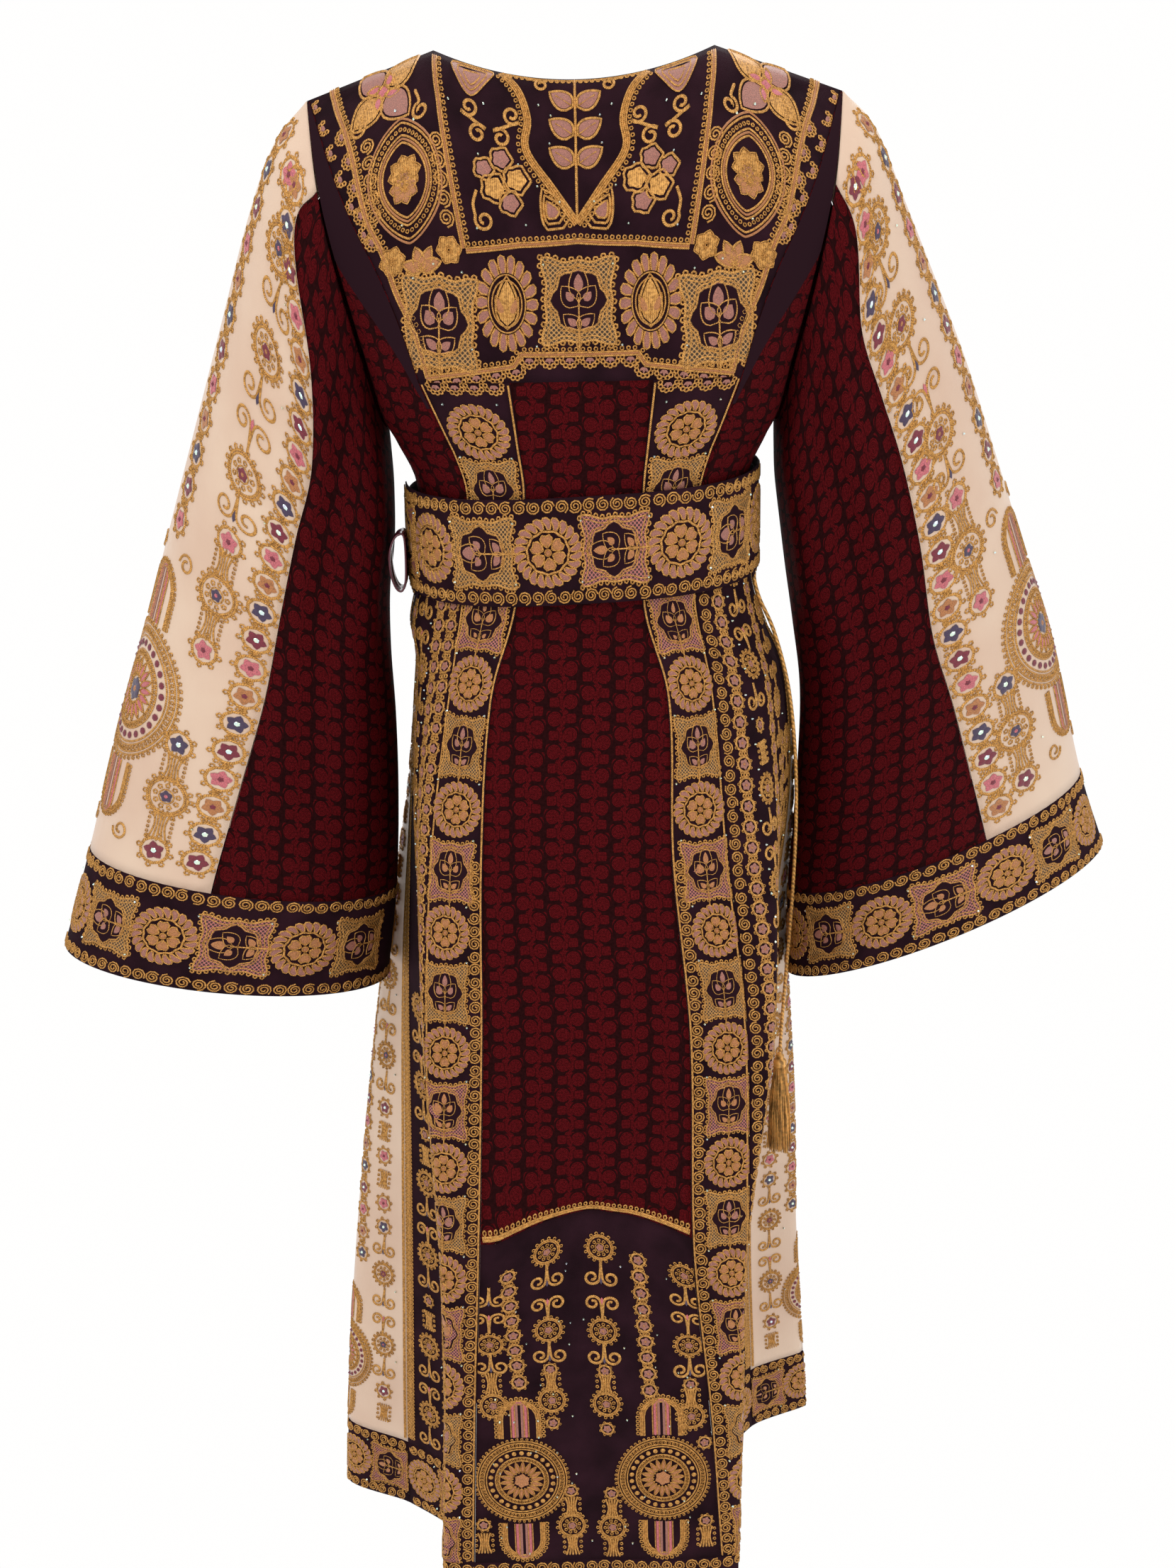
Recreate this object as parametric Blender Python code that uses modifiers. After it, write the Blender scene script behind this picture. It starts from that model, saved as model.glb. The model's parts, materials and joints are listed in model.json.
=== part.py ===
import math
from collections import namedtuple

import bmesh
import bpy
from mathutils import Vector

for old in list(bpy.data.objects):
    bpy.data.objects.remove(old, do_unlink=True)

# All sizes are metres. +X is the wearer's right seen from behind, -Y the back, Z 0 the nape.
CLOTH = 0.0013
STIFF_CLOTH = 0.0020
SEAM = 0.0003
STEP = 0.0004
NORMAL_STEP = 0.0020

NECK_HALF = 0.110
NECK_POINT_Z = 0.0216
TIP_X = 0.2110
TIP_Z = -0.0145
SHOULDER_ROUND = 0.130
ARMPIT_Z = -0.272
ARM_EDGE_DEPTH = 0.070
YOKE_BOTTOM_Z = -0.222
HEM_Z = -1.340
HEM_TOP_BACK_Z = -1.245
HEM_TOP_FRONT_Z = -1.268
ARCH_CREST_Z = -0.906
ARCH_END_Z = -0.936

BELT_TOP_Z = -0.3095
BELT_HEIGHT = 0.085
BELT_TILT = 0.040
BELT_SHAPE_Z = -0.405
BELT_UNDER_LIFT = 0.0010
BELT_OVER_LIFT = 0.0035
BELT_UNDER_DROP = 0.007
BELT_END_ROUND = 0.030

CORD_RADIUS = 0.0016
TASSEL_TOP = Vector((0.1745, 0.0560, -0.8700))
TASSEL_HEAD_RADIUS = 0.0065
TASSEL_HEAD_HEIGHT = 0.014
TASSEL_LENGTH = 0.088
TASSEL_CELLS = 6

Face = namedtuple("Face", "sign neckZ neckY")
BACK = Face(-1, -0.0020, 0.060)
FRONT = Face(1, -0.0750, 0.066)

# One row for each level of the body above the hips: half width, depth of back and of front.
Waist = namedtuple("Waist", "z half back front")
WAIST = (
    Waist(-0.015, 0.2110, 0.098, 0.085),
    Waist(-0.085, 0.1990, 0.112, 0.100),
    Waist(-0.156, 0.1820, 0.120, 0.112),
    Waist(-0.220, 0.1670, 0.121, 0.114),
    Waist(-0.272, 0.1560, 0.120, 0.112),
    Waist(-0.310, 0.1385, 0.121, 0.104),
    Waist(-0.355, 0.1345, 0.120, 0.100),
    Waist(-0.400, 0.1400, 0.122, 0.106),
    Waist(-0.440, 0.1500, 0.128, 0.114),
)

# One row for each level of the skirt: the points its cloth passes, seen from above, as x and y.
Skirt = namedtuple("Skirt", "z backY frontY foldL foldR underL underR valleyL valleyR "
                            "sideL sideR cornerL cornerR")
SKIRT = (
    Skirt(-0.440, -0.128, 0.114, (-0.114, -0.100), (0.118, -0.098), (-0.131, -0.068), (0.140, -0.066),
          (-0.138, -0.030), (0.150, -0.026), (-0.140, 0.012), (0.155, 0.016),
          (-0.128, 0.074), (0.144, 0.078)),
    Skirt(-0.500, -0.137, 0.123, (-0.122, -0.113), (0.128, -0.108), (-0.137, -0.080), (0.150, -0.074),
          (-0.143, -0.038), (0.163, -0.028), (-0.147, 0.012), (0.172, 0.020),
          (-0.143, 0.074), (0.168, 0.082)),
    Skirt(-0.600, -0.148, 0.135, (-0.133, -0.131), (0.145, -0.122), (-0.143, -0.096), (0.158, -0.085),
          (-0.147, -0.046), (0.164, -0.034), (-0.155, 0.014), (0.176, 0.022),
          (-0.158, 0.072), (0.182, 0.080)),
    Skirt(-0.750, -0.160, 0.150, (-0.138, -0.153), (0.149, -0.147), (-0.137, -0.115), (0.147, -0.105),
          (-0.140, -0.052), (0.143, -0.034), (-0.167, 0.012), (0.160, 0.034),
          (-0.187, 0.062), (0.181, 0.092)),
    Skirt(-0.950, -0.171, 0.165, (-0.132, -0.168), (0.127, -0.165), (-0.125, -0.125), (0.117, -0.115),
          (-0.128, -0.044), (0.112, -0.002), (-0.176, 0.014), (0.148, 0.072),
          (-0.217, 0.065), (0.195, 0.115)),
    Skirt(-1.100, -0.178, 0.180, (-0.133, -0.175), (0.123, -0.172), (-0.124, -0.125), (0.111, -0.115),
          (-0.129, -0.035), (0.111, 0.030), (-0.182, 0.021), (0.149, 0.110),
          (-0.236, 0.072), (0.202, 0.145)),
    Skirt(-1.250, -0.183, 0.196, (-0.140, -0.180), (0.120, -0.177), (-0.128, -0.125), (0.107, -0.115),
          (-0.133, -0.028), (0.113, 0.055), (-0.188, 0.029), (0.155, 0.140),
          (-0.250, 0.078), (0.212, 0.175)),
    Skirt(-1.340, -0.185, 0.202, (-0.142, -0.182), (0.119, -0.179), (-0.129, -0.125), (0.106, -0.115),
          (-0.134, -0.025), (0.114, 0.065), (-0.190, 0.033), (0.158, 0.150),
          (-0.256, 0.080), (0.219, 0.188)),
)

# Where the two long bands lie, as the distance along the cloth from the middle of the back.
Band = namedtuple("Band", "z innerL outerL innerR outerR")
BAND = (
    Band(-0.222, 0.054, 0.127, 0.056, 0.127),
    Band(-0.272, 0.048, 0.106, 0.050, 0.108),
    Band(-0.310, 0.044, 0.095, 0.046, 0.097),
    Band(-0.400, 0.054, 0.104, 0.046, 0.092),
    Band(-0.470, 0.075, 0.117, 0.064, 0.106),
    Band(-0.600, 0.086, 0.133, 0.066, 0.114),
    Band(-0.750, 0.090, 0.140, 0.079, 0.128),
    Band(-0.950, 0.099, 0.149, 0.081, 0.131),
    Band(-1.100, 0.107, 0.157, 0.095, 0.145),
    Band(-1.245, 0.113, 0.163, 0.104, 0.154),
)

# The yoke's slanted outer edge, as its share of the way from the middle to the armhole.
YokeEdge = namedtuple("YokeEdge", "z share")
YOKE_EDGE = (
    YokeEdge(TIP_Z, 0.990),
    YokeEdge(-0.0850, 0.890),
    YokeEdge(-0.1560, 0.760),
)

# One row for each section of a sleeve: its outer and inner edge, half depth, and the angle
# from the outer edge to the seam between the upper strip and the under gore.
Sleeve = namedtuple("Sleeve", "outer inner depth seam")
SLEEVE_L = (
    Sleeve((-0.2110, 0.000, -0.0145), (-0.1560, 0.000, -0.272), 0.070, 61),
    Sleeve((-0.2380, 0.000, -0.0450), (-0.1565, 0.000, -0.295), 0.074, 60),
    Sleeve((-0.2620, 0.000, -0.1000), (-0.1565, 0.000, -0.325), 0.077, 88),
    Sleeve((-0.2900, 0.000, -0.1850), (-0.1580, 0.000, -0.365), 0.079, 99),
    Sleeve((-0.3180, 0.000, -0.2700), (-0.1640, 0.000, -0.410), 0.081, 98),
    Sleeve((-0.3450, 0.000, -0.3520), (-0.1655, 0.000, -0.460), 0.083, 96),
    Sleeve((-0.3720, 0.000, -0.4350), (-0.1640, 0.000, -0.520), 0.084, 93),
    Sleeve((-0.4030, 0.000, -0.5250), (-0.1650, 0.000, -0.590), 0.084, 88),
    Sleeve((-0.4356, 0.000, -0.6300), (-0.1700, 0.000, -0.672), 0.084, 83),
    Sleeve((-0.4658, 0.000, -0.7212), (-0.1813, 0.000, -0.758), 0.082, 83),
)
SLEEVE_R = (
    Sleeve((0.2110, 0.000, -0.0145), (0.1560, 0.000, -0.272), 0.070, 62),
    Sleeve((0.2380, 0.003, -0.0430), (0.1585, 0.003, -0.294), 0.074, 66),
    Sleeve((0.2640, 0.012, -0.1000), (0.1610, 0.008, -0.322), 0.077, 80),
    Sleeve((0.2940, 0.027, -0.1660), (0.1660, 0.014, -0.360), 0.079, 81),
    Sleeve((0.3230, 0.043, -0.2320), (0.1715, 0.020, -0.400), 0.081, 81),
    Sleeve((0.3535, 0.060, -0.3120), (0.1790, 0.026, -0.450), 0.083, 83),
    Sleeve((0.3855, 0.080, -0.3980), (0.1865, 0.032, -0.510), 0.084, 87),
    Sleeve((0.4182, 0.100, -0.4858), (0.1860, 0.038, -0.580), 0.084, 83),
    Sleeve((0.4572, 0.130, -0.6197), (0.1800, 0.048, -0.700), 0.084, 76),
    Sleeve((0.4865, 0.150, -0.6980), (0.1790, 0.056, -0.785), 0.082, 76),
)
CUFF_START = 8.0
SLEEVE_END = 9.0
ARMHOLE_FADE = 2.2
UNDERARM_CLEAR = 0.0026

# Soft folds of a sleeve: angle and reach along it, angle's half width, and rise of the cloth.
Fold = namedtuple("Fold", "angle start end width rise")
SLEEVE_FOLDS = (
    Fold(118, 0.8, 7.8, 16, -0.0070),
    Fold(146, 0.4, 5.5, 15, 0.0060),
    Fold(70, 2.5, 7.5, 14, 0.0035),
    Fold(215, 1.0, 7.5, 18, -0.0060),
    Fold(250, 0.6, 6.5, 16, 0.0050),
)

# Soft folds of the skirt: distance along the cloth from the middle, reach down, width, rise.
Gather = namedtuple("Gather", "arc top bottom width rise")
BACK_GATHERS = (
    Gather(-0.052, -0.42, -0.93, 0.016, -0.0040),
    Gather(0.012, -0.46, -1.20, 0.020, 0.0030),
    Gather(0.048, -0.42, -0.88, 0.014, -0.0035),
    Gather(-0.036, -0.23, -0.31, 0.012, 0.0045),
    Gather(0.034, -0.23, -0.31, 0.012, 0.0045),
)
FRONT_GATHERS = (
    Gather(-0.150, -0.46, -1.40, 0.022, -0.0110),
    Gather(-0.095, -0.50, -1.40, 0.022, 0.0090),
    Gather(-0.035, -0.45, -1.40, 0.020, -0.0080),
    Gather(0.030, -0.52, -1.40, 0.022, 0.0100),
    Gather(0.085, -0.46, -1.40, 0.020, -0.0090),
    Gather(0.145, -0.48, -1.40, 0.022, 0.0100),
)

# The cord from the belt's right side to the tassel, hanging just clear of the skirt.
CORD_ROUTE = (
    (0.1422, -0.0162, -0.3963), (0.1426, -0.0161, -0.4040), (0.1472, -0.0150, -0.4200),
    (0.1600, -0.010, -0.4500),
    (0.1730, -0.004, -0.5000), (0.1800, 0.003, -0.5600), (0.1825, 0.012, -0.6200),
    (0.1820, 0.022, -0.6800), (0.1800, 0.033, -0.7400), (0.1770, 0.044, -0.8000),
    (0.1750, 0.053, -0.8500), (TASSEL_TOP.x, TASSEL_TOP.y, TASSEL_TOP.z + SEAM),
)

# The satin tie's loop beside the belt's left end, seen from behind, as x and z.
LOOP_ROUTE = (
    (-0.1462, -0.3560), (-0.1510, -0.3530), (-0.1560, -0.3590), (-0.1590, -0.3710),
    (-0.1580, -0.3870), (-0.1540, -0.3980), (-0.1490, -0.3990), (-0.1462, -0.3870),
)
LOOP_Y = -0.036
LOOP_WIDTH = 0.024
LOOP_WALL = 0.0015

BODY_ROWS_UPPER = (-0.222, -0.247, -0.272, -0.291, -0.310)
BODY_ROWS_WAIST = (-0.333, -0.355, -0.378, -0.400, -0.420)
BODY_ROWS_SKIRT = (-0.445, -0.480, -0.520, -0.570, -0.620, -0.680, -0.740, -0.780, -0.820, -0.880,
                   ARCH_END_Z, -1.010, -1.090, -1.170, HEM_TOP_BACK_Z)
ROWS_TO_ARCH = BODY_ROWS_UPPER + BODY_ROWS_WAIST + BODY_ROWS_SKIRT[:11]
ROWS_BELOW_ARCH = BODY_ROWS_SKIRT[10:]
HEM_ROWS = (HEM_TOP_BACK_Z, -1.292, HEM_Z)
FRONT_HEM_ROWS = (HEM_TOP_FRONT_Z, -1.304, HEM_Z)
YOKE_ROWS = 9


def hermite(a, b, slope_a, slope_b, t):
    t2, t3 = t * t, t * t * t
    return ((2 * t3 - 3 * t2 + 1) * a + (t3 - 2 * t2 + t) * slope_a
            + (3 * t2 - 2 * t3) * b + (t3 - t2) * slope_b)


def smooth(t):
    t = min(1.0, max(0.0, t))
    return t * t * (3 - 2 * t)


def bump(distance, width):
    t = abs(distance) / width
    return 0.0 if t >= 1 else (1 - t * t) ** 2


def along(rows, key, level, value):
    """Read one named column of a table that runs downwards, smoothly between its rows."""
    keys = [key(row) for row in rows]
    level = min(keys[0], max(keys[-1], level))
    i = next(n for n in range(len(keys) - 1) if level >= keys[n + 1] - 1e-12)
    step = keys[i + 1] - keys[i]

    def slope(n):
        low, high = max(0, n - 1), min(len(rows) - 1, n + 1)
        return (value(rows[high]) - value(rows[low])) / (keys[high] - keys[low])

    return hermite(value(rows[i]), value(rows[i + 1]), slope(i) * step, slope(i + 1) * step,
                   (level - keys[i]) / step)


def by_z(rows, z, name, item=None):
    def value(row):
        found = getattr(row, name)
        return found if item is None else found[item]
    return along(rows, lambda row: row.z, z, value)


def top_line(x, face):
    """Height of the neckline or shoulder seam at x."""
    reach = abs(x) / NECK_HALF
    if reach < 1:
        return face.neckZ + (NECK_POINT_Z - face.neckZ) * reach ** 2
    return NECK_POINT_Z + (TIP_Z - NECK_POINT_Z) * (abs(x) - NECK_HALF) / (TIP_X - NECK_HALF)


def bodice(x, z, face):
    """The bodice above the armpit: a point of the cloth at x and z."""
    half = by_z(WAIST, z, "half")
    depth = by_z(WAIST, z, "back" if face is BACK else "front")
    down = min(1.0, max(0.0, (TIP_Z - z) / (TIP_Z - ARMPIT_Z)))
    edge = ARM_EDGE_DEPTH * 2 * math.sqrt(down * (1 - down))
    power = 1.0 - 0.5 * smooth(down)
    reach = min(1.0, abs(x) / half)
    full = edge + (depth - edge) * (1 - reach ** 3) ** power
    neck = face.neckY * max(0.0, 1 - (x / NECK_HALF) ** 2)
    fall = min(1.0, max(0.0, (top_line(x, face) - z) / SHOULDER_ROUND))
    return Vector((x, face.sign * (neck + (full - neck) * math.sqrt(1 - (1 - fall) ** 2)), z))


def spline(points, parts, closeness=0.30):
    """A closed curve through points, one list of samples for each span."""
    spans = []
    count = len(points)
    for i in range(count):
        before, a, b, after = (points[(i + n) % count] for n in (-1, 0, 1, 2))
        slope_a = (b - before) * (0.5 * (1 - closeness))
        slope_b = (after - a) * (0.5 * (1 - closeness))
        spans.append([hermite(a, b, slope_a, slope_b, k / parts) for k in range(parts)])
    return spans


def skirt_ring(z):
    """The four quarters of the skirt at z, each from the middle to the side seam."""
    def read(name):
        return Vector((by_z(SKIRT, z, name, 0), by_z(SKIRT, z, name, 1)))
    back, front = by_z(SKIRT, z, "backY"), by_z(SKIRT, z, "frontY")
    right = [read(name) for name in ("foldR", "underR", "valleyR", "sideR", "cornerR")]
    left = [read(name) for name in ("foldL", "underL", "valleyL", "sideL", "cornerL")]
    flat = 0.58
    ring = ([Vector((0, back)), Vector((right[0].x * flat, back - 0.002))] + right
            + [Vector((right[4].x * flat, front - 0.004)), Vector((0, front)),
               Vector((left[4].x * flat, front - 0.004))] + left[::-1]
            + [Vector((left[0].x * flat, back - 0.002))])
    spans = spline(ring, 16)

    def run(first, last):
        return [p for span in spans[first:last] for p in span] + [ring[last % len(ring)]]
    return {(BACK, 1): run(0, 5), (FRONT, 1): run(5, 8)[::-1],
            (FRONT, -1): run(8, 11), (BACK, -1): run(11, 16)[::-1]}


def waist_ring(z):
    """The four quarters of the body between armpit and hip."""
    quarters = {}
    for face in (BACK, FRONT):
        for hand in (1, -1):
            line = []
            for k in range(49):
                turn = math.pi / 2 * k / 48
                x = by_z(WAIST, z, "half") * math.sin(turn) ** (2 / 3)
                line.append(bodice(hand * x, z, face).xy)
            quarters[(face, hand)] = line
    return quarters


def measure(line):
    total = [0.0]
    for a, b in zip(line, line[1:]):
        total.append(total[-1] + (b - a).length)
    return total


def read_line(line, lengths, arc):
    if arc >= lengths[-1]:
        way = (line[-1] - line[-2]).normalized()
        return line[-1] + way * (arc - lengths[-1])
    low, high = 0, len(lengths) - 1
    while high - low > 1:
        middle = (low + high) // 2
        if lengths[middle] <= arc:
            low = middle
        else:
            high = middle
    span = max(1e-9, lengths[high] - lengths[low])
    return line[low].lerp(line[high], (arc - lengths[low]) / span)


ring_store = {}


def quarter(z, face, hand):
    """One quarter of the body at z, from its middle to its side seam, with its lengths."""
    key = (round(z, 6), face, hand)
    if key in ring_store:
        return ring_store[key]
    low_z, high_z = -0.47, -0.42
    if z >= high_z:
        rings = waist_ring(z)
    elif z <= low_z:
        rings = skirt_ring(z)
    else:
        share = smooth((high_z - z) / (high_z - low_z))
        upper, lower, rings = waist_ring(z), skirt_ring(z), {}
        for place in upper:
            one, two = upper[place], lower[place]
            long_one, long_two = measure(one), measure(two)
            rings[place] = [
                read_line(one, long_one, long_one[-1] * k / 60).lerp(
                    read_line(two, long_two, long_two[-1] * k / 60), share) for k in range(61)]
    for place, line in rings.items():
        ring_store[(key[0],) + place] = (line, measure(line))
    return ring_store[key]


def reach(z, face, hand):
    return quarter(z, face, hand)[1][-1]


def plain_body(z, arc, face):
    line, lengths = quarter(z, face, 1 if arc >= 0 else -1)
    place = read_line(line, lengths, abs(arc))
    return Vector((place.x, place.y, z))


def normal_of(surface, s, t, out):
    across = surface(s, t + NORMAL_STEP) - surface(s, t - NORMAL_STEP)
    down = surface(s - NORMAL_STEP, t) - surface(s + NORMAL_STEP, t)
    found = across.cross(down).normalized()
    return found if found.dot(out) > 0 else -found


def body(z, arc, face):
    """The body below the yoke, with its folds: a point at z, arc along from the middle."""
    place = plain_body(z, arc, face)
    rise = 0.0
    for fold in (BACK_GATHERS if face is BACK else FRONT_GATHERS):
        strength = smooth((fold.top - z) / 0.08) * smooth((z - fold.bottom) / 0.05)
        rise += fold.rise * strength * bump(arc - fold.arc, fold.width)
    if rise:
        side = plain_body(z, arc + STEP, face) - plain_body(z, arc - STEP, face)
        out = Vector((side.y, -side.x, 0)).normalized() * (1 if face is BACK else -1)
        place += out * rise
    return place


def cloth_panel(name, colour, columns, rows, surface, place, out, wall=CLOTH, lift=0.0,
                settle=None):
    """A cloth piece: a grid laid on a surface, and its wall behind it."""
    mesh = bmesh.new()
    bmesh.ops.create_grid(mesh, x_segments=columns, y_segments=rows, size=0.5)
    inner = {}
    for vert in mesh.verts:
        u, v = vert.co.x + 0.5, 0.5 - vert.co.y
        s, t = place(u, v)
        normal = normal_of(surface, s, t, out(s, t))
        spot = surface(s, t)
        if settle:
            spot, normal = settle(s, t, v, spot, normal)
        vert.co = spot + normal * lift
        inner[vert] = vert.co - normal * wall
    made = bmesh.ops.duplicate(mesh, geom=mesh.verts[:] + mesh.edges[:] + mesh.faces[:])
    for old, spot in inner.items():
        made["vert_map"][old].co = spot
    bmesh.ops.reverse_faces(mesh, faces=[f for f in made["geom"] if isinstance(f, bmesh.types.BMFace)])
    edges = [e for e in mesh.edges if e.is_boundary]
    bmesh.ops.bridge_loops(mesh, edges=edges)
    bmesh.ops.recalc_face_normals(mesh, faces=mesh.faces)
    return add_object(name, mesh, colour)


def add_object(name, mesh, colour, rough=0.7, metal=0.0):
    data = bpy.data.meshes.new(name)
    mesh.to_mesh(data)
    mesh.free()
    data.shade_smooth()
    data.set_sharp_from_angle(angle=math.radians(40))
    data.materials.append(material(name, colour, rough, metal))
    thing = bpy.data.objects.new(name, data)
    garment.objects.link(thing)
    return thing


def material(name, colour, rough=0.7, metal=0.0):
    made = bpy.data.materials.new(name)
    made.use_nodes = True
    shader = made.node_tree.nodes["Principled BSDF"]
    shader.inputs["Base Color"].default_value = (*colour, 1)
    shader.inputs["Roughness"].default_value = rough
    shader.inputs["Metallic"].default_value = metal
    return made


PLUM = (0.022, 0.008, 0.015)
MAROON = (0.085, 0.008, 0.016)
IVORY = (0.80, 0.66, 0.52)
GOLD = (0.56, 0.34, 0.11)

garment = bpy.data.collections.new("thobe")
bpy.context.scene.collection.children.link(garment)


def strip(name, colour, face, rows, left, right, columns, upper=None, lower=None, **more):
    """A piece between two lines that run down the body, with its rows at given levels."""
    def surface(z, arc):
        return body(z, arc, face)

    def place(u, v):
        spot = v * (len(rows) - 1)
        i = min(int(spot + 1e-6), len(rows) - 2)
        z = rows[i] + (rows[i + 1] - rows[i]) * (spot - i)
        arc = left(z) + SEAM / 2 + (right(z) - left(z) - SEAM) * u
        if v < 1e-6 and z < TIP_Z:
            z = (upper(arc) if upper else z) - SEAM / 2
        if v > 1 - 1e-6:
            z = (lower(arc) if lower else z) + (0 if z <= HEM_Z else SEAM / 2)
        return z, arc

    def out(z, arc):
        way = surface(z, arc + STEP) - surface(z, arc - STEP)
        return Vector((-way.y, way.x, 0)) * face.sign
    return cloth_panel(name, colour, columns, len(rows) - 1, surface, place, out, **more)


def band_line(name, hand):
    return lambda z: hand * by_z(BAND, z, name)


def seam_line(face, hand):
    return lambda z: hand * reach(z, face, hand)


def shoulder_seam(face):
    """Lay the first row on the shoulder seam: both faces meet there under one normal."""
    def settle(s, t, v, spot, normal):
        if v < 1e-6:
            spot = bodice(spot.x, top_line(spot.x, face), face) + Vector((0, face.sign * SEAM / 2, 0))
            if abs(spot.x) > NECK_HALF - STEP:
                normal = Vector((normal.x, 0, normal.z)).normalized()
        return spot, normal
    return settle


def neck_column(across, column, share):
    """Stretch the columns of a bodice piece so that one of them starts at the neck point."""
    if abs(across) < column:
        return across * share / column
    return math.copysign(share + (abs(across) - column) * (1 - share) / (1 - column), across)


def middle_line(z):
    return 0.0


def arch(arc):
    share = min(1.0, abs(arc) / 0.085)
    return ARCH_CREST_Z + (ARCH_END_Z - ARCH_CREST_Z) * share ** 1.6


def yoke_levels():
    levels = []
    for k in range(YOKE_ROWS + 1):
        v = k / YOKE_ROWS
        fall = 0.55 * (1 - math.cos(v * math.pi / 2)) + 0.45 * v
        levels.append(TIP_Z + (YOKE_BOTTOM_Z - TIP_Z) * fall)
    return levels


def yoke_edge(z):
    """Distance from the middle of the back to the yoke's edge, at z."""
    ends = YOKE_EDGE + (YokeEdge(YOKE_BOTTOM_Z, BAND[0].outerL / reach(YOKE_BOTTOM_Z, BACK, 1)),)
    return by_z(ends, z, "share") * reach(z, BACK, 1)


def make_yoke():
    levels = yoke_levels()
    tip = plain_body(TIP_Z, yoke_edge(TIP_Z) - SEAM / 2, BACK).x

    def surface(z, x):
        return bodice(x, z, BACK)

    def place(u, v):
        edge_z = levels[round(v * YOKE_ROWS)]
        edge = plain_body(edge_z, yoke_edge(edge_z) - SEAM / 2, BACK).x
        x = neck_column(2 * u - 1, 0.5, NECK_HALF / tip) * edge
        share = (edge_z - YOKE_BOTTOM_Z) / (TIP_Z - YOKE_BOTTOM_Z)
        z = edge_z + (top_line(x, BACK) - top_line(edge, BACK)) * share
        if v > 1 - 1e-6:
            z += SEAM / 2
        return z, x
    cloth_panel("back_yoke", PLUM, 24, YOKE_ROWS, surface, place,
                lambda z, x: Vector((0, -1, 0.3)), settle=shoulder_seam(BACK))


def make_front_bodice():
    """The front above the belt, out to both armholes and side seams."""
    levels = yoke_levels() + [-0.272, -0.310, -0.355]
    neck_turn = math.asin(NECK_HALF / TIP_X) / (math.pi / 2)

    def surface(z, turn):
        return bodice(by_z(WAIST, z, "half") * math.sin(turn), z, FRONT)

    def place(u, v):
        edge_z = levels[round(v * (len(levels) - 1))]
        turn = neck_column(2 * u - 1, 1 / 3, neck_turn) * (math.pi / 2 - 0.0014)
        half = by_z(WAIST, edge_z, "half")
        x = half * math.sin(turn)
        share = max(0.0, (edge_z - ARMPIT_Z) / (TIP_Z - ARMPIT_Z))
        z = edge_z + (top_line(x, FRONT) - top_line(half, FRONT)) * share
        if v > 1 - 1e-6:
            z += SEAM / 2
        return z, turn
    cloth_panel("front_bodice", PLUM, 18, len(levels) - 1, surface, place,
                lambda z, turn: Vector((math.sin(turn) * 0.6, 1, 0.3)),
                settle=shoulder_seam(FRONT))


def make_body():
    waist = BODY_ROWS_WAIST[1]
    below = [z for z in BODY_ROWS_WAIST + BODY_ROWS_SKIRT if z <= waist]
    strip("back_center", MAROON, BACK, ROWS_TO_ARCH, band_line("innerL", -1),
          band_line("innerR", 1), 8, lower=arch)
    strip("back_lower", PLUM, BACK, ROWS_BELOW_ARCH, band_line("innerL", -1),
          band_line("innerR", 1), 8, upper=arch)
    strip("back_band_l", PLUM, BACK, ROWS_TO_ARCH + ROWS_BELOW_ARCH[1:],
          band_line("outerL", -1), band_line("innerL", -1), 4)
    strip("back_band_r", PLUM, BACK, ROWS_TO_ARCH + ROWS_BELOW_ARCH[1:],
          band_line("innerR", 1), band_line("outerR", 1), 4)
    strip("hem_back", PLUM, BACK, HEM_ROWS, band_line("outerL", -1), band_line("outerR", 1), 16)
    for hand, side in ((-1, "l"), (1, "r")):
        outer = band_line("outer" + side.upper(), hand)

        def inner(z, hand=hand, outer=outer):
            return hand * yoke_edge(z) if z > YOKE_BOTTOM_Z + 1e-6 else outer(z)

        def pair(one, two, hand=hand):
            return (one, two) if hand > 0 else (two, one)
        rows = yoke_levels() + [z for z in BODY_ROWS_UPPER[1:] + BODY_ROWS_WAIST if z >= waist]
        edges = pair(inner, seam_line(BACK, hand))
        strip("bodice_side_" + side, MAROON, BACK, rows, *edges, 4, settle=shoulder_seam(BACK))
        edges = pair(outer, seam_line(BACK, hand))
        strip("side_panel_" + side, PLUM, BACK, below + [HEM_TOP_FRONT_Z], *edges, 8)
        strip("hem_side_" + side, PLUM, BACK, FRONT_HEM_ROWS, *edges, 8)
        edges = pair(middle_line, seam_line(FRONT, hand))
        strip("front_panel_" + side, IVORY, FRONT, below + [HEM_TOP_FRONT_Z], *edges, 9)
        strip("hem_front_" + side, PLUM, FRONT, FRONT_HEM_ROWS, *edges, 9)


def sleeve_ring(rows, s):
    def read(name, item=None):
        def value(row):
            found = getattr(row, name)
            return found if item is None else found[item]
        return along(rows, lambda row: -rows.index(row), -s, value)
    outer = Vector([read("outer", i) for i in range(3)])
    inner = Vector([read("inner", i) for i in range(3)])
    return outer, inner, read("depth"), math.radians(read("seam"))


def sleeve_oval(rows, s, angle):
    outer, inner, depth, seam = sleeve_ring(rows, s)
    return ((outer + inner) / 2 + (outer - inner) / 2 * math.cos(angle)
            + Vector((0, -depth * math.sin(angle), 0)))


def armhole(rows, angle):
    """The armhole's edge on the bodice, at an angle from the shoulder tip round the back."""
    share = (1 - math.cos(angle)) / 2
    z = TIP_Z + (ARMPIT_Z - TIP_Z) * share
    hand = math.copysign(1, rows[0].outer[0])
    face = BACK if math.sin(angle) >= 0 else FRONT
    edge = bodice(hand * by_z(WAIST, z, "half"), z, face)
    edge.x += hand * (SEAM * 1.6 + UNDERARM_CLEAR * smooth((share - 0.01) / 0.6))
    return edge


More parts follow.
